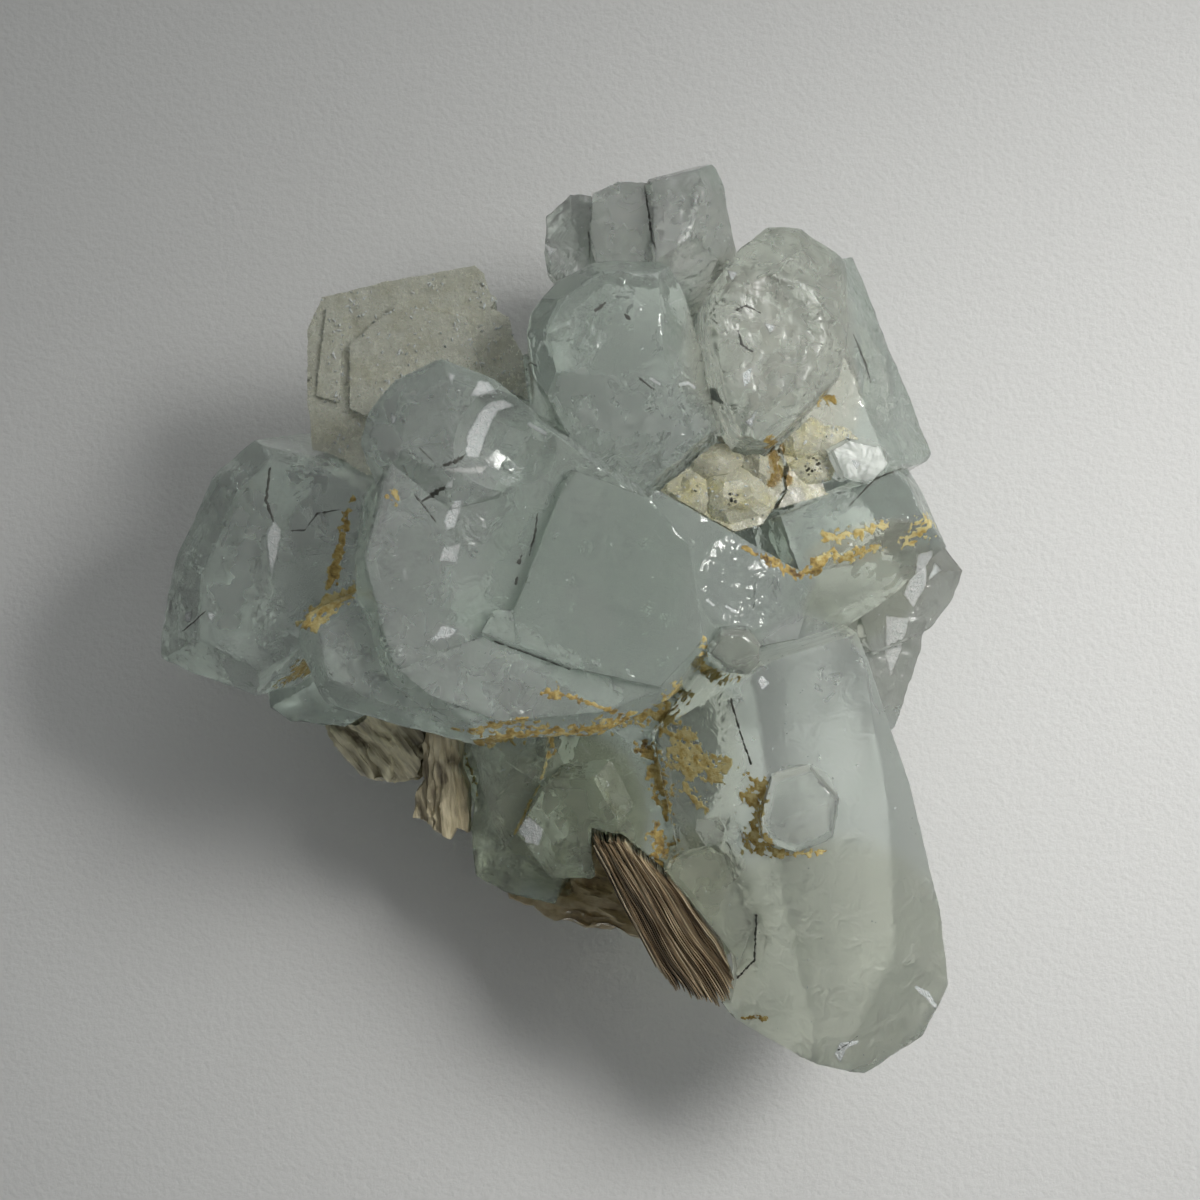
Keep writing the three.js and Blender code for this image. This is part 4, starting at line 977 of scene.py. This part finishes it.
def micaBook(nodeName, settings):
    dice = random.Random(settings["seed"])
    start, end = np.array(settings["start"], float), np.array(settings["end"], float)
    along = (end - start) * (1, 1, 0)
    along /= np.linalg.norm(along)
    across = np.array([along[1], -along[0], 0])
    middle = np.mean(settings["outline"], axis=0)
    outline = []
    for corner in np.array(settings["outline"]):
        away = corner - middle
        outline.append(tuple(corner + away / np.linalg.norm(away) * settings["grow"]))
    shares = np.linspace(-0.08, 1.08, 72)
    points, faces, tones = [], [], []
    for k in range(settings["sheets"]):
        side = (k + 0.5) / settings["sheets"] * 2 - 1
        first = start + across * side * settings["widths"][0] / 2
        last = end + across * side * settings["widths"][1] / 2
        line = first + (last - first) * shares[:, None]
        inside = np.flatnonzero(insidePlan(line, outline))
        if len(inside) < 6:
            continue
        runs = np.split(inside, np.flatnonzero(np.diff(inside) > 1) + 1)
        run = max(runs, key=len)[::2]
        trimStart, trimEnd = dice.uniform(-0.3, 0.12), dice.uniform(-0.45, 0.12)
        lift = dice.uniform(-0.5, 0.5) * settings["uneven"] + (1 - side**2)
        tone = dice.random() ** 1.3
        thick = np.linalg.norm(last - first) and (settings["widths"][0] + settings["widths"][1]) / 2 / settings["sheets"] * dice.uniform(0.5, 0.85)
        base = len(points)
        stations = line[run]
        for j, station in enumerate(stations):
            share = j / (len(stations) - 1)
            ends = trimStart * (share - 1) ** 4 * -1 + trimEnd * share**4
            wave = noise.noise(Vector((share * 2.6, k * 0.13, settings["seed"]))) * settings["wave"] * (0.4 + share)
            wave += noise.noise(Vector((share * 9, k * 0.9, settings["seed"]))) * 0.05
            high = lift + noise.noise(Vector((share * 5, k * 0.7, 2.0))) * 0.35 * settings["uneven"]
            high -= (0.9 * (1 - min(1, share * 9)) + 0.9 * (1 - min(1, (1 - share) * 9))) * dice.uniform(0.3, 1)
            centre = station + across * wave + along * ends
            leanOut = across * side * 0.12
            for offset, height in ((-0.5, centre[2] + high), (0.5, centre[2] + high - dice.uniform(0, 0.08))):
                top = centre + across * thick * offset
                points.append((top[0], top[1], height))
            for offset in (0.5, -0.5):
                foot = centre + across * thick * offset + leanOut
                points.append((foot[0], foot[1], settings["bottom"] + 0.3))
        for j in range(len(stations) - 1):
            a, b = base + j * 4, base + j * 4 + 4
            for m in range(4):
                n = (m + 1) % 4
                faces.append((a + m, b + m, b + n, a + n))
        faces.append((base, base + 1, base + 2, base + 3))
        tip = base + (len(stations) - 1) * 4
        faces.append((tip + 3, tip + 2, tip + 1, tip))
        tones += [tone] * (len(points) - base)
    piece = addMesh(nodeName + "_sheets", points, faces, micaMaterial(nodeName, along), "mica", 35)
    solid = bmesh.new()
    solid.from_mesh(piece.data)
    bmesh.ops.recalc_face_normals(solid, faces=solid.faces)
    solid.to_mesh(piece.data)
    solid.free()
    setValues(piece, "sheet", tones)
    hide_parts(nodeName)
    return piece


# Folded mica: the node's own form with soft folds along it, with painted shade making the creases dark.
def foldedMica(nodeName, settings):
    points, triangles = fineMesh(nodeName, lambda point, normal: settings["spacing"] * (1 if normal[2] > -0.3 else 2))
    normals = pointNormals(points, triangles)
    along = np.array([*settings["along"], 0]) / np.linalg.norm(settings["along"])
    across = np.array([along[1], -along[0], 0])
    warp = noiseAt(points, 3.5, (settings["seed"], 0, 0)) * 1.6
    drawn = np.stack([
        (points @ across + warp) / settings["width"], points @ along / settings["length"], points[:, 2] / 2.5,
    ], axis=1)
    fold = 1 - 2.2 * np.abs(noiseAt(drawn, 1, (1, settings["seed"], 2)))
    fold += 0.35 * noiseAt(drawn * (3.5, 2, 2), 1, (4, settings["seed"], 1))
    points = points + normals * ((fold - 0.6) * settings["depth"])[:, None]
    material = micaMaterial(nodeName, along, settings.get("see", 0.0))
    piece = addMesh(nodeName + "_folds", points, triangles, material, "mica", 50)
    # tone follows the fold height: painted shade in the creases, with random tone and darker or paler spots on top
    tones = np.clip(0.1 + 0.55 * fold + 0.2 * noiseAt(points, 1.1, (8, 8, settings["seed"])), 0, 1)
    for x, y, reach, change in settings["marks"]:
        away = np.hypot(points[:, 0] - x, points[:, 1] - y)
        tones = tones + change * smoothStep(reach, reach * 0.55, away)
    setValues(piece, "sheet", np.clip(tones, 0, 1))
    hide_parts(nodeName)


for nodeName, settings in micaSettings.items():
    micaBook(nodeName, settings)
for nodeName, settings in foldSettings.items():
    foldedMica(nodeName, settings)
print("mica made")
